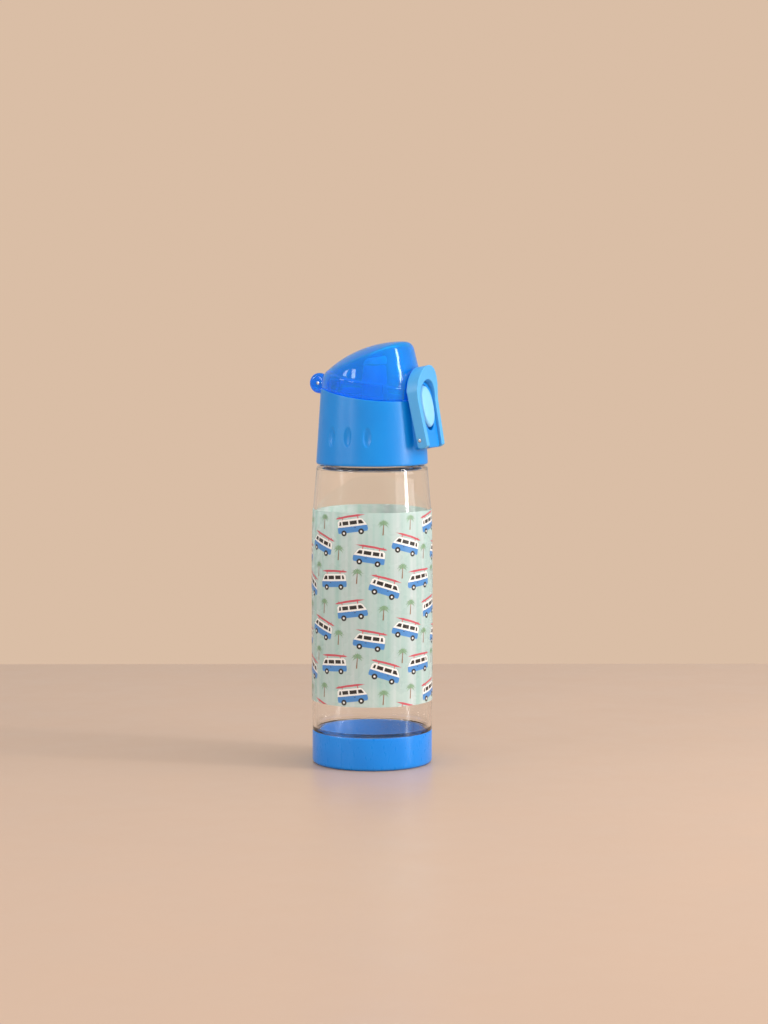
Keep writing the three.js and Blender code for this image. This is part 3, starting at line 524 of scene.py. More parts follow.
LID_BLUE = satin_plastic("lid_blue", (0.0, 0.26, 0.77), (0.0, 0.235, 0.73), coat=0.05)
BASE_BLUE = satin_plastic("base_blue", (0.0, 0.25, 0.83), (0.0, 0.23, 0.79), rough=0.3, coat=0.08)
# Painted light: the button is the lid's own plastic, given a lighter blue that stands for the light falling
# on its face.
BUTTON_PAINTED_LIT_BLUE = satin_plastic("button_blue", (0.25, 0.61, 0.9), (0.23, 0.58, 0.87), rough=0.36)
# Painted sheen: the bail is the lid's own plastic, given a lighter blue that stands for the window light
# reflected on its front.
BAIL_PAINTED_SHEEN_BLUE = satin_plastic("bail_painted_sheen_blue", (0.08, 0.42, 0.82), (0.07, 0.39, 0.78), rough=0.38)
LATCH_WHITE = satin_plastic("latch_white", (0.78, 0.78, 0.75), (0.73, 0.73, 0.7), rough=0.45, coat=0)
CLEAR = clear_plastic()
CAP_BLUE = cap_plastic()
FILM = film()
SILICONE = silicone()
STEEL = steel()
INKS = {
    "white": ink("ink_white", (0.88, 0.88, 0.86), (0.82, 0.82, 0.8)),
    "blue": ink("ink_blue", (0.08, 0.27, 0.62), (0.07, 0.24, 0.57)),
    "black": ink("ink_black", (0.02, 0.018, 0.018), (0.032, 0.028, 0.026)),
    "red": ink("ink_red", (0.62, 0.1, 0.13), (0.54, 0.08, 0.11)),
    "green": ink("ink_green", (0.24, 0.4, 0.24), (0.2, 0.35, 0.2)),
    "brown": ink("ink_brown", (0.3, 0.16, 0.09), (0.24, 0.12, 0.07)),
}


def finish_piece(obj, material, body, slot, *nodes):
    """Gives a piece its material, its body and the CAD nodes that it stands for."""
    obj.data.materials.clear()
    obj.data.materials.append(material)
    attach(obj, body)
    if nodes:
        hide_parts(*nodes)


# ---- Base cup, clear body and film ----
def body_radius(z):
    """The clear body's outer radius between the base cup and the shoulder."""
    if z <= WAIST_BOTTOM:
        return BODY_RADIUS
    top = FILM_HIGH.z
    if z <= top:
        return BODY_RADIUS - WAIST_NARROWING * ((z - WAIST_BOTTOM) / (top - WAIST_BOTTOM)) ** 2
    share = (z - top) / (SHOULDER_Z - 1.8 - top)
    return BODY_RADIUS - WAIST_NARROWING + (SHOULDER_RADIUS - BODY_RADIUS + WAIST_NARROWING) * share


def make_base_cup():
    rim = BASE_RADIUS - BASE_WALL
    outline = filleted(
        [
            (0, 0.4, 0),
            (BASE_RADIUS - 6, 0.4, 0),
            (BASE_RADIUS - 5.4, 0, 0),
            (BASE_RADIUS, 0, 1.9),
            (BASE_RADIUS, BASE_HIGH.z, 0.5),
            (rim, BASE_HIGH.z, 0.4),
            (rim, BASE_FLOOR, 1.2),
            (0, BASE_FLOOR, 0),
        ]
    )
    cup = soften(turned("base_cup_fine", outline))
    finish_piece(cup, BASE_BLUE, "bottle", "base_blue", "base_cup")


def thread_ridges(name, root, depth, first, turn, low):
    """The starts of a screw thread with a rounded crest; a negative depth faces inwards."""
    flank = [(-0.2, 0.5), (0.25, 0.42), (0.8, 0.3), (1, 0.14)]
    section = flank + [(out, -rise) for out, rise in reversed(flank)]
    steps = 40
    parts = []
    for start in range(THREAD_STARTS):
        vertices = []
        for i in range(steps + 1):
            share = i / steps
            fade = min(1, 6 * share, 6 * (1 - share)) * 0.9 + 0.1
            angle = math.radians(first + 360 * start / THREAD_STARTS + turn * share)
            for out, rise in section:
                radius = root + depth * out * (fade if out > 0 else 1)
                z = low + THREAD_LEAD * turn * share / 360 + rise * THREAD_HEIGHT * fade
                vertices.append((radius * math.cos(angle), radius * math.sin(angle), z))
        count = len(section)
        faces = [list(range(count)), list(range(steps * count, (steps + 1) * count))]
        for i in range(steps):
            for k in range(count):
                n = (k + 1) % count
                faces.append([i * count + k, i * count + n, (i + 1) * count + n, (i + 1) * count + k])
        parts.append(new_object(f"{name}_{start}", vertices, faces))
    return parts


def make_body():
    seat = BASE_HIGH.z + GAP
    floor = BODY_LOW.z + BODY_FLOOR
    shoulder = SHOULDER_Z - 1.8
    heights = [seat + 2] + list(np.linspace(FILM_LOW.z, WAIST_BOTTOM, 5)) + list(np.linspace(104, 141, 9))
    heights += list(np.linspace(FILM_HIGH.z, shoulder, 6))
    neck = NECK_RADIUS - BODY_WALL
    outside = [(0, BODY_LOW.z + 0.8, 0), (FOOT_RADIUS - 8, BODY_LOW.z + 0.8, 2)]
    outside += [(FOOT_RADIUS - 6, BODY_LOW.z, 1), (FOOT_RADIUS, BODY_LOW.z, 1.5)]
    outside += [(FOOT_RADIUS, seat, 0.3), (BASE_RADIUS, seat, 0.5)]
    outside += [(body_radius(z), z, 0) for z in heights[1:]]
    outside += [(SHOULDER_RADIUS, SHOULDER_Z, 1.7), (NECK_RADIUS, SHOULDER_Z, 0.6)]
    outside += [(NECK_RADIUS, BODY_HIGH.z, 0.5)]
    inside = [(neck, BODY_HIGH.z, 0.5), (neck, SHOULDER_Z - 1.2, 1.2)]
    inside += [(SHOULDER_RADIUS - 1.6, SHOULDER_Z - 1.3, 1.2)]
    inside += [(body_radius(z) - BODY_WALL + 0.4, z - 2.5, 0) for z in reversed(heights[1:])]
    inside += [(BASE_RADIUS - BODY_WALL, seat + 2.2, 0.8), (FOOT_RADIUS - BODY_WALL, seat, 0.8)]
    inside += [(FOOT_RADIUS - BODY_WALL, floor, 2.5), (FOOT_RADIUS - 10, floor, 2), (0, floor + 0.9, 0)]
    body = turned("clear_body", filleted(outside + inside))
    ridges = thread_ridges("neck_thread", NECK_RADIUS, THREAD_DEPTH, 0, NECK_THREAD_TURN, THREAD_LOW)
    body = soften(join("clear_body", [body, *ridges]), 50)
    finish_piece(body, CLEAR, "bottle", "clear_plastic", "bottle_body")


def make_film():
    heights = list(np.linspace(FILM_LOW.z, WAIST_BOTTOM, 4)) + list(np.linspace(103, FILM_HIGH.z, 12))
    inner = [(body_radius(z) + FILM_GAP, z) for z in heights]
    outer = [(radius + FILM_THICKNESS, z) for radius, z in inner]
    sheet = soften(turned("film_sheet", outer + inner[::-1]))
    finish_piece(sheet, FILM, "bottle", "print_film", "printed_sleeve")


# ---- Print: flat shapes wrapped round the film, placed and coloured as on the real sleeve ----
def disc(x, y, radius, steps=16):
    turn = np.linspace(0, 2 * math.pi, steps, False)
    return [(x + radius * math.cos(a), y + radius * math.sin(a)) for a in turn]


def van_shapes():
    """A boxy camper seen from the side, nose to the right, about 18 mm long, by ink and layer."""
    lower = [(-8.6, -3.6), (8.4, -3.6), (8.9, -2.6), (8.7, -0.3), (-8.8, -0.3), (-8.9, -2.6)]
    upper = [(-8.8, -0.4), (8.7, -0.4), (8.2, 0.5), (6.6, 3.0), (5.4, 3.7), (-7.4, 3.7), (-8.6, 2.6)]
    panes = [
        [(-7.7, 0.7), (-6.3, 0.7), (-6.3, 2.7), (-7.2, 2.7)],
        [(-5.4, 0.7), (-1.9, 0.7), (-1.9, 2.7), (-5.4, 2.7)],
        [(-1.0, 0.7), (3.1, 0.7), (3.1, 2.7), (-1.0, 2.7)],
        [(4.0, 0.7), (7.1, 0.7), (5.8, 2.7), (4.0, 2.7)],
    ]
    board = [(-9.8, 4.6), (-8.2, 5.2), (-2, 5.8), (4, 5.9), (8.4, 5.3), (4, 4.8), (-2, 4.7), (-8.2, 4.3)]
    fin = [(-7.2, 4.9), (-6.4, 5.0), (-7.6, 6.1)]
    racks = [[(x, 3.6), (x + 0.5, 3.6), (x + 0.5, 4.9), (x, 4.9)] for x in (-5.5, 3.8)]
    wheels = [disc(x, -3.6, 1.6) for x in (-5.2, 4.9)]
    hubs = [disc(x, -3.6, 0.6) for x in (-5.2, 4.9)]
    handle = [(1.2, -1.3), (2.2, -1.3), (2.2, -1.0), (1.2, -1.0)]
    shapes = [("white", 1, upper), ("blue", 1, lower), ("red", 1, board), ("red", 2, fin)]
    shapes += [("red", 2, rack) for rack in racks]
    shapes += [("black", 2, pane) for pane in panes] + [("black", 2, handle)]
    shapes += [("black", 3, wheel) for wheel in wheels] + [("white", 4, hub) for hub in hubs]
    return shapes


def palm_shapes():
    """A small palm, about 9 mm tall: a leaning trunk and a fan of arched, drooping leaves."""
    crown = (0.3, 1.2)
    shapes = [("brown", 1, [(-0.45, -4.6), (0.25, -4.6), (0.5, 1.2), (0.1, 1.2)])]
    leaves = [(170, 3.7), (145, 3.5), (115, 3.0), (88, 2.9), (62, 3.1), (35, 3.5), (10, 3.7)]
    leaves += [(200, 3.0), (-20, 3.0)]
    for angle, reach in leaves:
        turn = math.radians(angle)
        along, rise = math.cos(turn) * reach, math.sin(turn) * reach
        droop = 0.3 * abs(along)
        bend = (crown[0] + along * 0.55, crown[1] + rise * 0.55 + 0.35)
        tip = (crown[0] + along, crown[1] + rise - droop)
        side = Vector((-rise, along)).normalized() * 0.36
        low, high = (bend[0] - side.x, bend[1] - side.y), (bend[0] + side.x, bend[1] + side.y)
        shapes.append(("green", 2, [crown, low, tip, high]))
    return shapes


# One repeat of the print: across and up in millimetres, tilt in degrees, and which way the nose points.
VANS = [(0, 39, 8, 1), (9.7, 22.5, -8, -1), (18.7, 5, -18, 1), (31.5, 28, -15, -1), (41, 8.5, 4, -1)]
PALMS = [(17.5, 38.5), (34, 41), (44.7, 24.5), (2.9, 12), (28.6, 14.5)]
REPEATS_ROUND = 4
REPEAT_HEIGHT = 46.5
PRINT_START = math.radians(-153.5 - 19.4)
PRINT_BOTTOM = 49.5


def wrapped_shape(work, outline, layer):
    """Adds a flat outline (angle distance and height in mm) to a mesh, clipped and wrapped on the film."""
    flat = bmesh.new()
    flat.faces.new([flat.verts.new((x, y, 0)) for x, y in outline])
    edges_low, edges_high = FILM_LOW.z + 0.05, FILM_HIGH.z - 0.05
    slices = [((0, edges_low, 0), (0, -1, 0)), ((0, edges_high, 0), (0, 1, 0))]
    for point, normal in slices:
        everything = flat.verts[:] + flat.edges[:] + flat.faces[:]
        bmesh.ops.bisect_plane(flat, geom=everything, plane_co=point, plane_no=normal, clear_outer=True)
    if flat.faces:
        xs = [v.co.x for v in flat.verts]
        step = 1.2
        for k in range(math.ceil(min(xs) / step), math.floor(max(xs) / step) + 1):
            everything = flat.verts[:] + flat.edges[:] + flat.faces[:]
            bmesh.ops.bisect_plane(flat, geom=everything, plane_co=(k * step, 0, 0), plane_no=(1, 0, 0))
    reference = BODY_RADIUS + FILM_GAP + FILM_THICKNESS
    matched = {}
    for vertex in flat.verts:
        x, z = vertex.co.x, vertex.co.y
        angle = PRINT_START + x / reference
        radius = body_radius(z) + FILM_GAP + FILM_THICKNESS + INK_STEP * layer
        x, y = radius * math.cos(angle), radius * math.sin(angle)
        matched[vertex] = work.verts.new((x * MM, y * MM, z * MM))
    for face in flat.faces:
        work.faces.new([matched[v] for v in face.verts])
    flat.free()


def make_print():
    sheets = {name: bmesh.new() for name in INKS}
    around = 2 * math.pi * (BODY_RADIUS + FILM_GAP + FILM_THICKNESS)
    for column in range(REPEATS_ROUND):
        for row in (-1, 0, 1):
            x0 = around * column / REPEATS_ROUND
            z0 = PRINT_BOTTOM + REPEAT_HEIGHT * row
            placed = [(x, y, tilt, nose, van_shapes()) for x, y, tilt, nose in VANS]
            placed += [(x, y, 0, 1, palm_shapes()) for x, y in PALMS]
            for x, y, tilt, nose, shapes in placed:
                turn = Matrix.Rotation(math.radians(tilt), 2)
                for name, layer, outline in shapes:
                    moved = [turn @ Vector((a * nose, b)) for a, b in outline]
                    spots = [(x0 + x + p.x, z0 + y + p.y) for p in moved]
                    wrapped_shape(sheets[name], spots[::nose], layer)
    for name, work in sheets.items():
        mesh = bpy.data.meshes.new(f"print_{name}")
        work.to_mesh(mesh)
        work.free()
        obj = bpy.data.objects.new(f"print_{name}", mesh)
        bpy.context.scene.collection.objects.link(obj)
        for face in mesh.polygons:
            face.use_smooth = True
        finish_piece(obj, INKS[name], "bottle", "print_film")


# ---- Lid ----
def shell_radius(z):
    return SHELL_RADIUS - SHELL_TAPER * (z - SHELL_LOW.z)


def seam_height(y):
    climb = min(max((y - SEAM_RISE_START) / SEAM_RISE_LENGTH, 0), SEAM_RISE_END)
    return SEAM_Z + SEAM_RISE * climb**1.5


def space_above_seam(name, offset):
    far = 60
    rise_end = SEAM_RISE_START + SEAM_RISE_END * SEAM_RISE_LENGTH
    line = [(y, seam_height(y) + offset) for y in np.linspace(SEAM_RISE_START, rise_end, 48)]
    outline = [(-far, SEAM_Z + offset), *line, (far, seam_height(far) + offset), (far, 300), (-far, 300)]
    return prism(name, outline, -far, far, ALONG_X)


def dimple(side, step):
    """An upright oval hollow in the lid's side."""
    angle = math.radians(side + step * DIMPLE_STEP)
    rings = [(math.sin(a), -math.cos(a)) for a in np.linspace(0, math.pi, 17)]
    ball = turned("dimple", rings, 32)
    centre = ((shell_radius(DIMPLE_Z) + DIMPLE_SETBACK) * MM, 0, DIMPLE_Z * MM)
    place = Matrix.Rotation(angle, 4, "Z") @ Matrix.Translation(centre)
    ball.data.transform(place @ Matrix.Diagonal((*DIMPLE_SIZE, 1)))
    return ball


def lug_pair():
    made = []
    outline = [(HINGE_Y - LUG_RADIUS, HINGE_Z), (shell_radius(SEAM_Z) - SHELL_WALL - 0.6, SEAM_Z - 1)]
    outline += [(shell_radius(SEAM_Z) - 0.4, SEAM_Z - 1), (HINGE_Y + 1, HINGE_Z - LUG_RADIUS + 0.4)]
    for x0, x1 in ((LUG_INNER, LUG_OUTER), (-LUG_OUTER, -LUG_INNER)):
        made.append(prism("lug_web", outline, x0, x1, ALONG_X))
        made.append(rod_x("lug_eye", LUG_RADIUS, x0 + 0.01, x1 - 0.01, HINGE_Y, HINGE_Z))
    return made


def make_lid_shell():
    top = SEAM_Z + SEAM_RISE + 4
    deck_top = LINER_HIGH.z
    ledge_low, ledge_high = deck_top + GAP, deck_top + GAP + 1.8
    cone = [(0, SHELL_LOW.z), (SHELL_RADIUS - 0.5, SHELL_LOW.z), (SHELL_RADIUS, SHELL_LOW.z + 0.8)]
    cone += [(shell_radius(top), top), (0, top)]
    hollow = [(0, SHELL_LOW.z - 1), (SHELL_RADIUS - SHELL_WALL, SHELL_LOW.z - 1)]
    hollow += [(shell_radius(ledge_low) - SHELL_WALL, ledge_low), (LEDGE_RADIUS, ledge_low)]
    hollow += [(LEDGE_RADIUS, ledge_high), (shell_radius(ledge_high) - SHELL_WALL, ledge_high)]
    hollow += [(shell_radius(top) - SHELL_WALL, top + 1), (0, top + 1)]
    boss = arch(BOSS_HALF_WIDTH, BOSS_FOOT, BOSS_ARCH_TOP - BOSS_HALF_WIDTH, BOSS_ARCH_TOP, 2.5)
    pocket = oval(BUTTON_HALF_WIDTH + 0.4, BUTTON_HALF_HEIGHT + 1.1, -0.7)
    shell = turned("lid_shell_fine", cone)
    add(shell, prism("boss", boss, -10, 0, FACE_MATRIX))
    cut(shell, turned("hollow", hollow), space_above_seam("above", 0))
    add(shell, prism("lip", boss, -3.4, 0, FACE_MATRIX))
    add(shell, *lug_pair())
    cut(shell, rod_x("spring_room", LUG_RADIUS + 0.3, -LUG_INNER, LUG_INNER, HINGE_Y, HINGE_Z))
    cut(shell, prism("pocket", pocket, -5.2, 5, FACE_MATRIX))
    window = [(-4.6, -1.2), (4.6, -1.2), (4.6, 2.3), (-4.6, 2.3)]
    cut(shell, prism("window", window, -14, 0, FACE_MATRIX))
    for x0, x1 in ((EAR_INNER - 0.4, EAR_OUTER + 0.5), (-EAR_OUTER - 0.5, 0.4 - EAR_INNER)):
        cut(shell, rod_x("ear_room", EAR_RADIUS + 0.5, x0, x1, HINGE_Y, HINGE_Z))
    cut(shell, rod_x("hinge_hole", PIN_RADIUS + RUNNING_GAP, -EAR_OUTER, EAR_OUTER, HINGE_Y, HINGE_Z))
    for side in (0, 180):
        for step in (-1, 0, 1):
            cut(shell, dimple(side, step))
    moulded(shell, SHELL_VOXEL, 4)
    fewer = shell.modifiers.new("fewer", "DECIMATE")
    fewer.ratio = SHELL_FACES_KEPT
    apply_modifiers(shell)
    shell.data.shade_smooth()
    finish_piece(shell, LID_BLUE, "lid", "lid_blue", "lid_shell")


def make_liner():
    bore = LINER_HIGH.x - 1.7
    deck = LINER_HIGH.z
    outline = filleted(
        [
            (bore, LINER_LOW.z, 0.4),
            (LINER_HIGH.x, LINER_LOW.z, 0.4),
            (LINER_HIGH.x, deck, 0.6),
            (0, deck, 0),
            (0, deck - 2, 0),
            (bore, deck - 2, 0.4),
        ]
    )
    liner = turned("lid_liner_fine", outline)
    hole = [(0, deck - 4), (7.9, deck - 4), (7.9, deck + 2), (0, deck + 2)]
    cut(liner, turned("spout_hole", hole, SMALL_STEPS, (0, SPOUT_Y)))
    vent = [(0, deck - 4), (2.3, deck - 4), (2.3, deck + 2), (0, deck + 2)]
    cut(liner, turned("vent_hole", vent, SMALL_STEPS, (0, VENT_Y)))
    first = LINER_THREAD_FIRST
    low = THREAD_LOW - 2 + THREAD_LEAD * first / 360
    ridges = thread_ridges("liner_thread", bore, -THREAD_DEPTH, first, LINER_THREAD_TURN, low)
    liner = soften(join("lid_liner_fine", [liner, *ridges]), 40)
    finish_piece(liner, LID_BLUE, "lid", "lid_blue", "lid_liner")


def make_spout():
    low, top = SPOUT_LOW.z, SPOUT_HIGH.z
    flange = LINER_HIGH.z + GAP
    radius = SPOUT_HIGH.x
    outline = filleted(
        [
            (4.6, low, 0.3),
            (7.6, low, 0.4),
            (7.6, flange, 0.1),
            (radius, flange, 0.4),
            (radius, flange + 1.6, 0.5),
            (8.2, flange + 2.6, 1.5),
            (6.9, top - 8, 4),
            (6.2, top, 1.1),
            (3.6, top, 1.0),
        ]
    )
    spout = soften(turned("spout_fine", outline, 96, (0, SPOUT_Y)))
    finish_piece(spout, BASE_BLUE, "lid", "base_blue", "spout")


def make_vent():
    low, top = VENT_LOW.z, VENT_HIGH.z
    head = LINER_HIGH.z + GAP
    outline = filleted(
        [(0, low, 0), (2, low, 0.3), (2, head, 0.1), (3.6, head, 0.3), (3.2, top - 0.2, 0.5), (0, top, 0)]
    )
    vent = soften(turned("vent_valve_fine", outline, SMALL_STEPS, (0, VENT_Y)))
    finish_piece(vent, SILICONE, "lid", "silicone", "vent_valve")


def make_gasket():
    inner = NECK_RADIUS - BODY_WALL
    low, high = GASKET_LOW.z, GASKET_HIGH.z
    outline = [(inner, low, 0.6), (GASKET_HIGH.x, low, 0.6), (GASKET_HIGH.x, high, 0.6), (inner, high, 0.6)]
    ring = soften(turned("neck_gasket_fine", filleted(outline)))
    finish_piece(ring, SILICONE, "gasket", "silicone", "neck_gasket")


# ---- Flip cap: its outer form is found by casting rays from inside onto softly blended surfaces ----
CAP_SIDE = [(202.0, 28.8), (219.6, 26.0), (223.5, 25.0), (227.0, 24.2), (230.6, 23.3)]
CAP_SIDE += [(233.5, 22.3), (240.0, 19.5)]
CAP_EYE = Vector((0, -2, 206))
SKIRT_Z = 214.4  # the skirt's upper edge, level with the axis; it climbs towards the hinge
SKIRT_SLOPE = 0.19
SKIRT_RADIUS = (28.55, 28.15)


def soft_max(a, b, width):
    blend = np.clip(0.5 + 0.5 * (a - b) / width, 0, 1)
    return b + (a - b) * blend + width * blend * (1 - blend)


def soft_min(a, b, width):
    return -soft_max(-a, -b, width)


def roof_distance(x, y, z):
    """Roughly the distance outside the roof's ellipsoid."""
    across, along, tall = ROOF_HALF_AXES
    dy, dz = y - ROOF_CREST_Y, z - (ROOF_TOP - tall)
    level = np.sqrt((x / across) ** 2 + (dy / along) ** 2 + (dz / tall) ** 2)
    slope = np.sqrt((x / across**2) ** 2 + (dy / along**2) ** 2 + (dz / tall**2) ** 2)
    return (level - 1) * level / np.maximum(slope, 1e-6)


def cap_distance(x, y, z):
    """Roughly the distance outside the cap's outer surface; negative inside."""
    heights, radii = zip(*CAP_SIDE)
    above = z - (SKIRT_Z + SKIRT_SLOPE * y)
    skirt = np.interp(z, (203, 215), SKIRT_RADIUS)
    share = np.clip(0.5 + above / 1.6, 0, 1)
    share = share * share * (3 - 2 * share)
    side = np.hypot(x, y) - (skirt + (np.interp(z, heights, radii) - skirt) * share)
    body = soft_max(soft_max(side, roof_distance(x, y, z), 2.6), -CAP_FRONT - y, 0.6)
    pad_top = np.hypot(x, np.maximum(z - 205.5, 0)) - 13.8
    pad = soft_max(pad_top, -CAP_FRONT - y, 0.6)
    pad = soft_max(pad, y + 10, 0.5)
    return soft_min(body, pad, 0.5)


def cap_skin(inset, offset, around=256, rings=110):
    """Grid of points on the cap's form, from the seam up to the crown."""
    turn = np.linspace(0, 2 * math.pi, around, endpoint=False)

    def reach(height, lift):
        near, far = np.zeros(around), np.full(around, 60.0)
        for _ in range(40):
            half = (near + far) / 2
            x = CAP_EYE.x + half * np.cos(lift) * np.cos(turn)
            y = CAP_EYE.y + half * np.cos(lift) * np.sin(turn)
            outside = cap_distance(x, y, height + half * np.sin(lift)) > -inset
            far = np.where(outside, half, far)
            near = np.where(outside, near, half)
        return near

    flat = np.zeros(around)
    seam = np.full(around, SEAM_Z + offset)
    for _ in range(6):
        radius = reach(seam, flat)
        seam = np.array([seam_height(y) + offset for y in CAP_EYE.y + radius * np.sin(turn)])
    first = np.arctan2(seam - CAP_EYE.z, radius)
    rows = []
    for step in np.linspace(0, 1, rings, endpoint=False):
        lift = first + (math.pi / 2 - first) * step
        far = reach(np.full(around, CAP_EYE.z), lift)
        points = np.stack(
            [
                CAP_EYE.x + far * np.cos(lift) * np.cos(turn),
                CAP_EYE.y + far * np.cos(lift) * np.sin(turn),
                CAP_EYE.z + far * np.sin(lift),
            ],
            axis=1,
        )
        rows.append(points)
    crown = reach(np.full(around, CAP_EYE.z), np.full(around, math.pi / 2))[0]
    return rows, (CAP_EYE.x, CAP_EYE.y, CAP_EYE.z + crown)


def cap_shell(name):
    around = 320
    outer, outer_crown = cap_skin(0, SEAM_GAP, around)
    inner, inner_crown = cap_skin(CAP_WALL, SEAM_GAP, around)
    vertices = [tuple(p) for row in outer for p in row] + [outer_crown]
    crown = len(vertices) - 1
    start = len(vertices)
    vertices += [tuple(p) for row in inner for p in row] + [inner_crown]
    faces = []
    for base, rows, pole in ((0, outer, crown), (start, inner, len(vertices) - 1)):
        last = base + (len(rows) - 1) * around
        for r in range(len(rows) - 1):
            for k in range(around):
                n = (k + 1) % around
                low, high = base + r * around, base + (r + 1) * around
                faces.append([low + k, low + n, high + n, high + k])
        faces += [[last + k, last + (k + 1) % around, pole] for k in range(around)]
    for k in range(around):
        n = (k + 1) % around
        faces.append([k, n, start + n, start + k])
    return new_object(name, vertices, faces)


def cap_radius_at(angle, z):
    """Distance from the axis to the cap's side at an angle and height."""
    near, far = 5.0, 40.0
    for _ in range(30):
        half = (near + far) / 2
        if cap_distance(half * math.cos(angle), half * math.sin(angle), z) > 0:
            far = half
        else:
            near = half
    return near


def raised_panel(mirror):
    """The raised outline of a long panel on the skirt: a thin bead laid along its side."""
    low_z, high_z = (204.4, 208.7), (211.2, 213.8)
    front, rear = math.radians(218), math.radians(148)
    corners = [(front, low_z[0], 0), (front, high_z[0], 0), (rear, high_z[1], 1.6), (rear, low_z[1], 1.6)]
    flat = [(-angle * 28, z, radius) for angle, z, radius in corners]
    loop = filleted(flat)
    path = []
    for (a, za), (b, zb) in zip(loop, loop[1:] + loop[:1]):
        count = max(1, round(math.hypot(b - a, zb - za) / 0.7))
        path += [(a + (b - a) * k / count, za + (zb - za) * k / count) for k in range(count)]
    points = []
    for along, z in path:
        angle = -along / 28
        radius = cap_radius_at(angle, z)
        points.append((mirror * radius * math.cos(angle), radius * math.sin(angle), z))
    return swept("panel_bead", points, 0.28, 8, closed=True)


def ear(side):
    outline = filleted(
        [(0, EAR_INNER, 0), (EAR_RADIUS, EAR_INNER, 0.3), (EAR_RADIUS, EAR_OUTER, 2.4), (0, EAR_OUTER, 0)]
    )
    made = turned("ear", outline, SMALL_STEPS)
    place = Matrix.Translation((0, HINGE_Y * MM, HINGE_Z * MM))
    made.data.transform(place @ Matrix.Rotation(side * math.pi / 2, 4, "Y"))
    return made


def make_cap():
    cap = cap_shell("flip_cap_fine")
    away = (ROOF_CREST_Y - SPOUT_Y) / ROOF_HALF_AXES[1]
    post_top = ROOF_TOP - ROOF_HALF_AXES[2] * (1 - math.sqrt(1 - away**2)) - 1.3
    post_foot = SPOUT_HIGH.z + 4.5
    post = [(0, post_foot), (POST_RADIUS, post_foot), (POST_RADIUS, post_top), (0, post_top)]
    add(cap, turned("post", post, SMALL_STEPS, (0, SPOUT_Y)), ear(-1), ear(1))
    reach = LUG_OUTER + 0.35
    cut(cap, rod_x("slot", LUG_RADIUS + 1, -reach, reach, HINGE_Y, HINGE_Z))
    cut(cap, box_between("slot_foot", (-reach, HINGE_Y - 9, SEAM_Z), (reach, HINGE_Y + 9, HINGE_Z)))
    cut(cap, rod_x("pin_hole", PIN_RADIUS + RUNNING_GAP, -EAR_OUTER - 1, EAR_OUTER + 1, HINGE_Y, HINGE_Z))
    cap = soften(join("flip_cap_fine", [cap, raised_panel(1), raised_panel(-1)]), 35)
    finish_piece(cap, CAP_BLUE, "cap", "cap_blue", "flip_cap")


def make_seal():
    low, tip = SEAL_LOW.z, SPOUT_HIGH.z
    disc_low = tip + 0.4
    disc_high = disc_low + 3.4
    outline = filleted(
        [
            (0, low, 0),
            (1.6, low, 0.6),
            (2.9, disc_low, 0.4),
            (6.8, disc_low, 0.6),
            (6.8, disc_high, 0.6),
            (5.1, SEAL_HIGH.z, 0.4),
            (3.7, SEAL_HIGH.z, 0.3),
            (3.7, disc_high, 0.2),
            (0, disc_high, 0),
        ]
    )
    seal = soften(turned("cap_seal_fine", outline, SMALL_STEPS, (0, SPOUT_Y)))
    finish_piece(seal, SILICONE, "cap", "silicone", "cap_seal")


# ---- Hinge, button and bail ----
def pin_between(name, x0, x1, y, z, matrix=None):
    """A steel pin along X with eased ends."""
    outline = filleted([(0, x0, 0), (PIN_RADIUS, x0, 0.25), (PIN_RADIUS, x1, 0.25), (0, x1, 0)])
    pin = turned(name, outline, 32)
    lay = Matrix.Translation(Vector((0, y, z)) * MM) @ Matrix.Rotation(math.pi / 2, 4, "Y")
    frame_place = Matrix.Identity(4)
    if matrix:
        frame_place = Matrix.Translation(matrix.to_translation() * MM) @ matrix.to_3x3().to_4x4()
    pin.data.transform(frame_place @ lay)
    return soften(pin)


def make_pins():
    hinge = pin_between("hinge_pin_fine", PIN_LOW.x, PIN_HIGH.x, HINGE_Y, HINGE_Z)
    finish_piece(hinge, STEEL, "lid", "steel", "hinge_pin")
    for side, name in ((-1, "bail_pin_left"), (1, "bail_pin_right")):
        low, high = node_span(name)
        pin = pin_between(name + "_fine", low.x, high.x, BAIL_PIVOT_Y, BAIL_PIVOT_Z, FACE_MATRIX)
        finish_piece(pin, STEEL, "lid", "steel", name)


def make_springs():
    turns, wire, radius, leg = 4.5, 0.4, 2.5, 8
    pitch = 2 * wire + 0.25
    start = -pitch * turns / 2
    path = [(start, HINGE_Y - leg, HINGE_Z - radius)]
    for i in range(int(turns * 32) + 1):
        angle = 2 * math.pi * i / 32
        x = start + pitch * i / 32
        path.append((x, HINGE_Y + radius * math.sin(angle), HINGE_Z - radius * math.cos(angle)))
    path.append((-start, HINGE_Y - leg, HINGE_Z + radius))
    spring = soften(swept("torsion_spring_fine", path, wire), 60)
    finish_piece(spring, STEEL, "lid", "steel", "torsion_spring")
    room, coils, radius = 1.8, 3, 2.1
    centre, back = -7.5, -4.6
    path = []
    for i in range(coils * 32 + 1):
        angle = 2 * math.pi * i / 32
        out = back + room * i / (coils * 32)
        path.append(FACE_MATRIX @ Vector((radius * math.cos(angle), centre + radius * math.sin(angle), out)))
    spring = soften(swept("button_spring_fine", path, 0.3), 60)
    finish_piece(spring, STEEL, "lid", "steel", "button_spring")


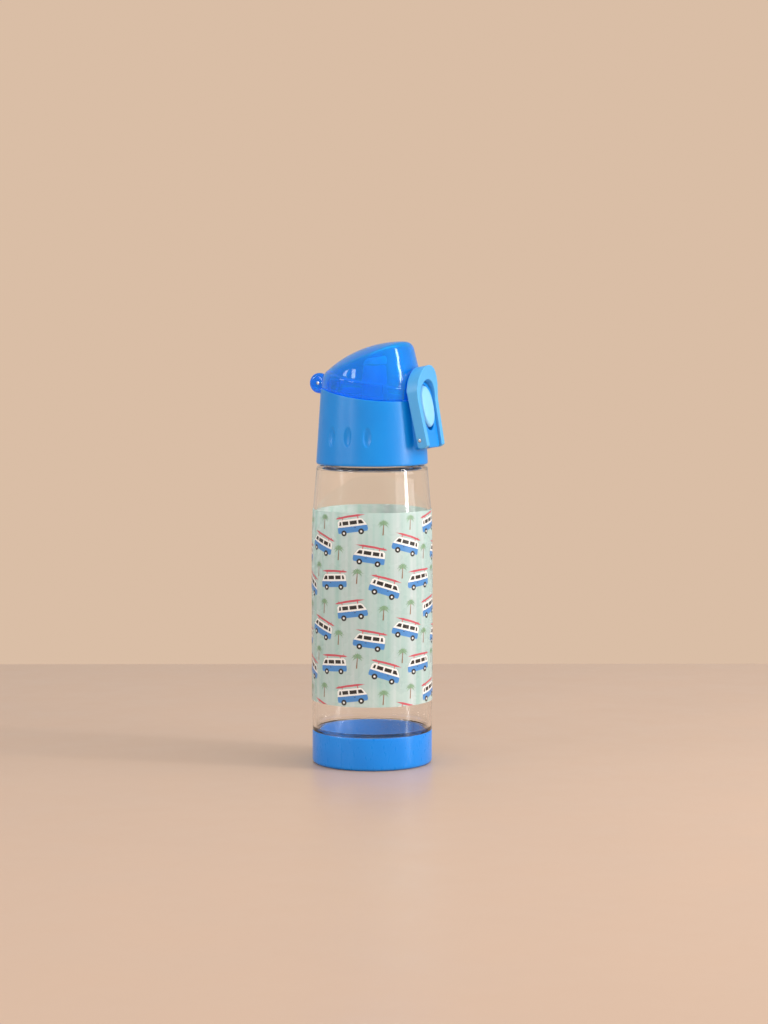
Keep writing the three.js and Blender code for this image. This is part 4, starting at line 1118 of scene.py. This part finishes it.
def make_button():
    """An oval button with a shallow dome and a soft shoulder."""
    dome = [(math.cos(a), 0.45 + 1.2 * math.sin(a)) for a in np.linspace(0.42, math.pi / 2, 20)]
    shoulder = [(0.975, 0.1), (0.958, 0.42), (0.935, 0.72)]
    skirt = [(0, -2.2), (0.95, -2.2), (0.985, -1.95), (1, -1.5), (1, -0.4), (0.992, -0.1)]
    outline = [*skirt, *shoulder, *dome[1:]]
    outline[-1] = (0, outline[-1][1])
    button = turned("push_button_fine", outline, 128, squeeze=(BUTTON_HALF_WIDTH, BUTTON_HALF_HEIGHT))
    place = Matrix.Translation(FACE_ORIGIN * MM) @ Matrix.Rotation(math.pi / 2 - FACE_LEAN, 4, "X")
    button.data.transform(place)
    soften(button, 50)
    # The button's lighter blue is painted light, standing for the light on its face.
    finish_piece(button, BUTTON_PAINTED_LIT_BLUE, "button", "button_blue", "push_button")
    frame["nodes"]["latch_slider"].data.materials.clear()
    frame["nodes"]["latch_slider"].data.materials.append(LATCH_WHITE)


def make_bail():
    outline = arch(BAIL_HALF_WIDTH, BOSS_FOOT, BAIL_TOP - 13.9, BAIL_TOP, steps=40)
    bail = prism("lock_bail_fine", outline, -4.6, BAIL_LIP_FRONT, FACE_MATRIX)
    inner = BAIL_HALF_WIDTH - BAIL_LIMB
    opening = arch(inner, BOSS_FOOT - 5, BAIL_ARCH_TOP - inner, BAIL_ARCH_TOP, steps=32)
    cut(bail, prism("opening", opening, -10, 10, FACE_MATRIX))
    heel = BAIL_PIVOT_Y - BOSS_FOOT
    side = FACE_MATRIX @ ALONG_X
    # The front face is flat up to the finger lip, which then flares forward in a gentle curve.
    flare = [(BOSS_FOOT - 5, BAIL_FRONT)]
    for share in np.linspace(0, 1, 12):
        rise = BAIL_LIP_START - 4 + (BAIL_TOP - BAIL_LIP_START + 4) * share
        flare.append((rise, BAIL_FRONT + (BAIL_LIP_FRONT - BAIL_FRONT) * share**1.5))
    flare += [(BAIL_TOP + 5, BAIL_LIP_FRONT), (BAIL_TOP + 5, 20), (BOSS_FOOT - 5, 20)]
    cut(bail, prism("flare", flare, -FAR, FAR, side))
    rounding = [(BOSS_FOOT - 5, -20), (BAIL_PIVOT_Y, -20)]
    arc = [math.radians(a) for a in range(-90, -271, -6)]
    rounding += [(BAIL_PIVOT_Y + heel * math.cos(a), BAIL_PIVOT_Z + 1 + heel * math.sin(a)) for a in arc]
    rounding += [(BAIL_PIVOT_Y, 20), (BOSS_FOOT - 5, 20)]
    cut(bail, prism("heel", rounding, -FAR, FAR, side))
    turn = np.linspace(0, 2 * math.pi, 32, endpoint=False)
    ring = [(BAIL_PIVOT_Y + 1.1 * math.cos(a), BAIL_PIVOT_Z + 1.1 * math.sin(a)) for a in turn]
    cut(bail, prism("pin_hole", ring, -FAR, FAR, side))
    cut(bail, box_between("cap_room", (-FAR, -CAP_FRONT - 0.9, SEAM_Z - 1), (FAR, 0, 240)))
    moulded(bail, BAIL_VOXEL, 14)
    # The bail's lighter blue is painted sheen from the window light; its plastic is the lid's.
    finish_piece(bail, BAIL_PAINTED_SHEEN_BLUE, "bail", "lid_blue", "lock_bail")


# ---- Room, light and camera ----
VIEW_TURN = math.radians(-63.5)
TOWARDS_CAMERA = Vector((math.sin(VIEW_TURN), -math.cos(VIEW_TURN), 0))
CAMERA_RIGHT = Vector((math.cos(VIEW_TURN), math.sin(VIEW_TURN), 0))
CAMERA_DISTANCE = 1.38
CAMERA_HEIGHT = 0.252
CAMERA_LENS = 87.5
TARGET_RIGHT = 0.0066
TARGET_HEIGHT = 0.14
WALL_DISTANCE = 0.383
WALL_PAINT = (0.7, 0.515, 0.38)
FLOOR_PAINT = (0.6, 0.415, 0.3)


def stage_material(name, colour, deeper, rough):
    material, nodes, links, shader = shader_tree(name)
    cloud = noise(nodes, links, 2.5, 3)
    tinted(nodes, links, shader, spread(nodes, links, cloud, 0, 1), colour, deeper)
    patch = noise(nodes, links, 25, 4)
    links.new(spread(nodes, links, patch, rough - 0.04, rough + 0.04), shader.inputs["Roughness"])
    bump(nodes, links, shader, noise(nodes, links, 400, 3), 0.08, 0.0004)
    return material


def make_room():
    """A floor that ends behind the bottle; the plain backdrop beyond it is the world's colour."""
    behind, before, aside = WALL_DISTANCE, -3.0, 3.0
    corners = [(-aside, before), (aside, before), (aside, behind), (-aside, behind)]
    spots = [(CAMERA_RIGHT * x - TOWARDS_CAMERA * y) / MM for x, y in corners]
    floor = new_object("floor", spots, [[0, 1, 2, 3]])
    deeper = [channel * 0.97 for channel in FLOOR_PAINT]
    floor.data.materials.append(stage_material("floor_paint", FLOOR_PAINT, deeper, 0.34))


def make_world():
    """The backdrop's colour where it is looked at, and a soft even light elsewhere."""
    world = bpy.data.worlds.new("room")
    world.use_nodes = True
    nodes, links = world.node_tree.nodes, world.node_tree.links
    light = nodes["Background"]
    light.inputs["Color"].default_value = (1, 0.95, 0.9, 1)
    light.inputs["Strength"].default_value = 0.5
    backdrop = nodes.new("ShaderNodeBackground")
    backdrop.inputs["Color"].default_value = (*WALL_PAINT, 1)
    path = nodes.new("ShaderNodeLightPath")
    looked_at = nodes.new("ShaderNodeMath")
    looked_at.operation = "MAXIMUM"
    links.new(path.outputs["Is Camera Ray"], looked_at.inputs[0])
    links.new(path.outputs["Is Transmission Ray"], looked_at.inputs[1])
    mix = nodes.new("ShaderNodeMixShader")
    links.new(looked_at.outputs["Value"], mix.inputs["Fac"])
    links.new(light.outputs["Background"], mix.inputs[1])
    links.new(backdrop.outputs["Background"], mix.inputs[2])
    links.new(mix.outputs["Shader"], nodes["World Output"].inputs["Surface"])
    bpy.context.scene.world = world


def panel(name, right, forward, height, width, tall, power, aim, tint=(1, 1, 1), mirrored=True):
    """A soft light panel, placed in metres along the view's own directions and aimed at the bottle."""
    lamp = bpy.data.lights.new(name, "AREA")
    lamp.shape = "RECTANGLE"
    lamp.size, lamp.size_y = width, tall
    lamp.energy = power
    lamp.color = tint
    obj = bpy.data.objects.new(name, lamp)
    obj.location = CAMERA_RIGHT * right - TOWARDS_CAMERA * forward + Vector((0, 0, height))
    obj.rotation_euler = (Vector((0, 0, aim)) - obj.location).to_track_quat("-Z", "Y").to_euler()
    obj.visible_glossy = mirrored
    bpy.context.scene.collection.objects.link(obj)


def make_lights():
    panel("window_right", 1.15, -0.35, 0.65, 1.2, 1.1, 11, 0.12, (1, 0.98, 0.96), mirrored=False)
    panel("strip_right", 0.9, -0.28, 0.45, 0.1, 0.8, 4, 0.14)
    panel("pane_left_near", -0.85, -0.82, 0.5, 0.2, 0.44, 2, 0.2)
    panel("pane_left_far", -1.1, -0.4, 0.5, 0.22, 0.44, 2, 0.2)
    panel("front_fill", -0.2, -2.2, 1.3, 1.6, 1.2, 14, 0.1, (1, 0.98, 0.96), mirrored=False)
    panel("top", 0.1, 0.3, 1.7, 1.6, 1.2, 8, 0.0, mirrored=False)


def make_camera():
    lens = bpy.data.cameras.new("camera")
    lens.sensor_fit = "VERTICAL"
    lens.sensor_height = 36
    lens.lens = CAMERA_LENS
    camera = bpy.data.objects.new("camera", lens)
    camera.location = TOWARDS_CAMERA * CAMERA_DISTANCE + Vector((0, 0, CAMERA_HEIGHT))
    target = CAMERA_RIGHT * TARGET_RIGHT + Vector((0, 0, TARGET_HEIGHT))
    camera.rotation_euler = (target - camera.location).to_track_quat("-Z", "Y").to_euler()
    bpy.context.scene.collection.objects.link(camera)
    bpy.context.scene.camera = camera


make_camera()
make_room()
make_world()
make_lights()
make_base_cup()
make_body()
make_film()
make_print()
make_gasket()
make_liner()
make_lid_shell()
make_spout()
make_vent()
make_cap()
make_seal()
make_pins()
make_springs()
make_button()
make_bail()

bpy.context.scene.view_settings.view_transform = "Standard"
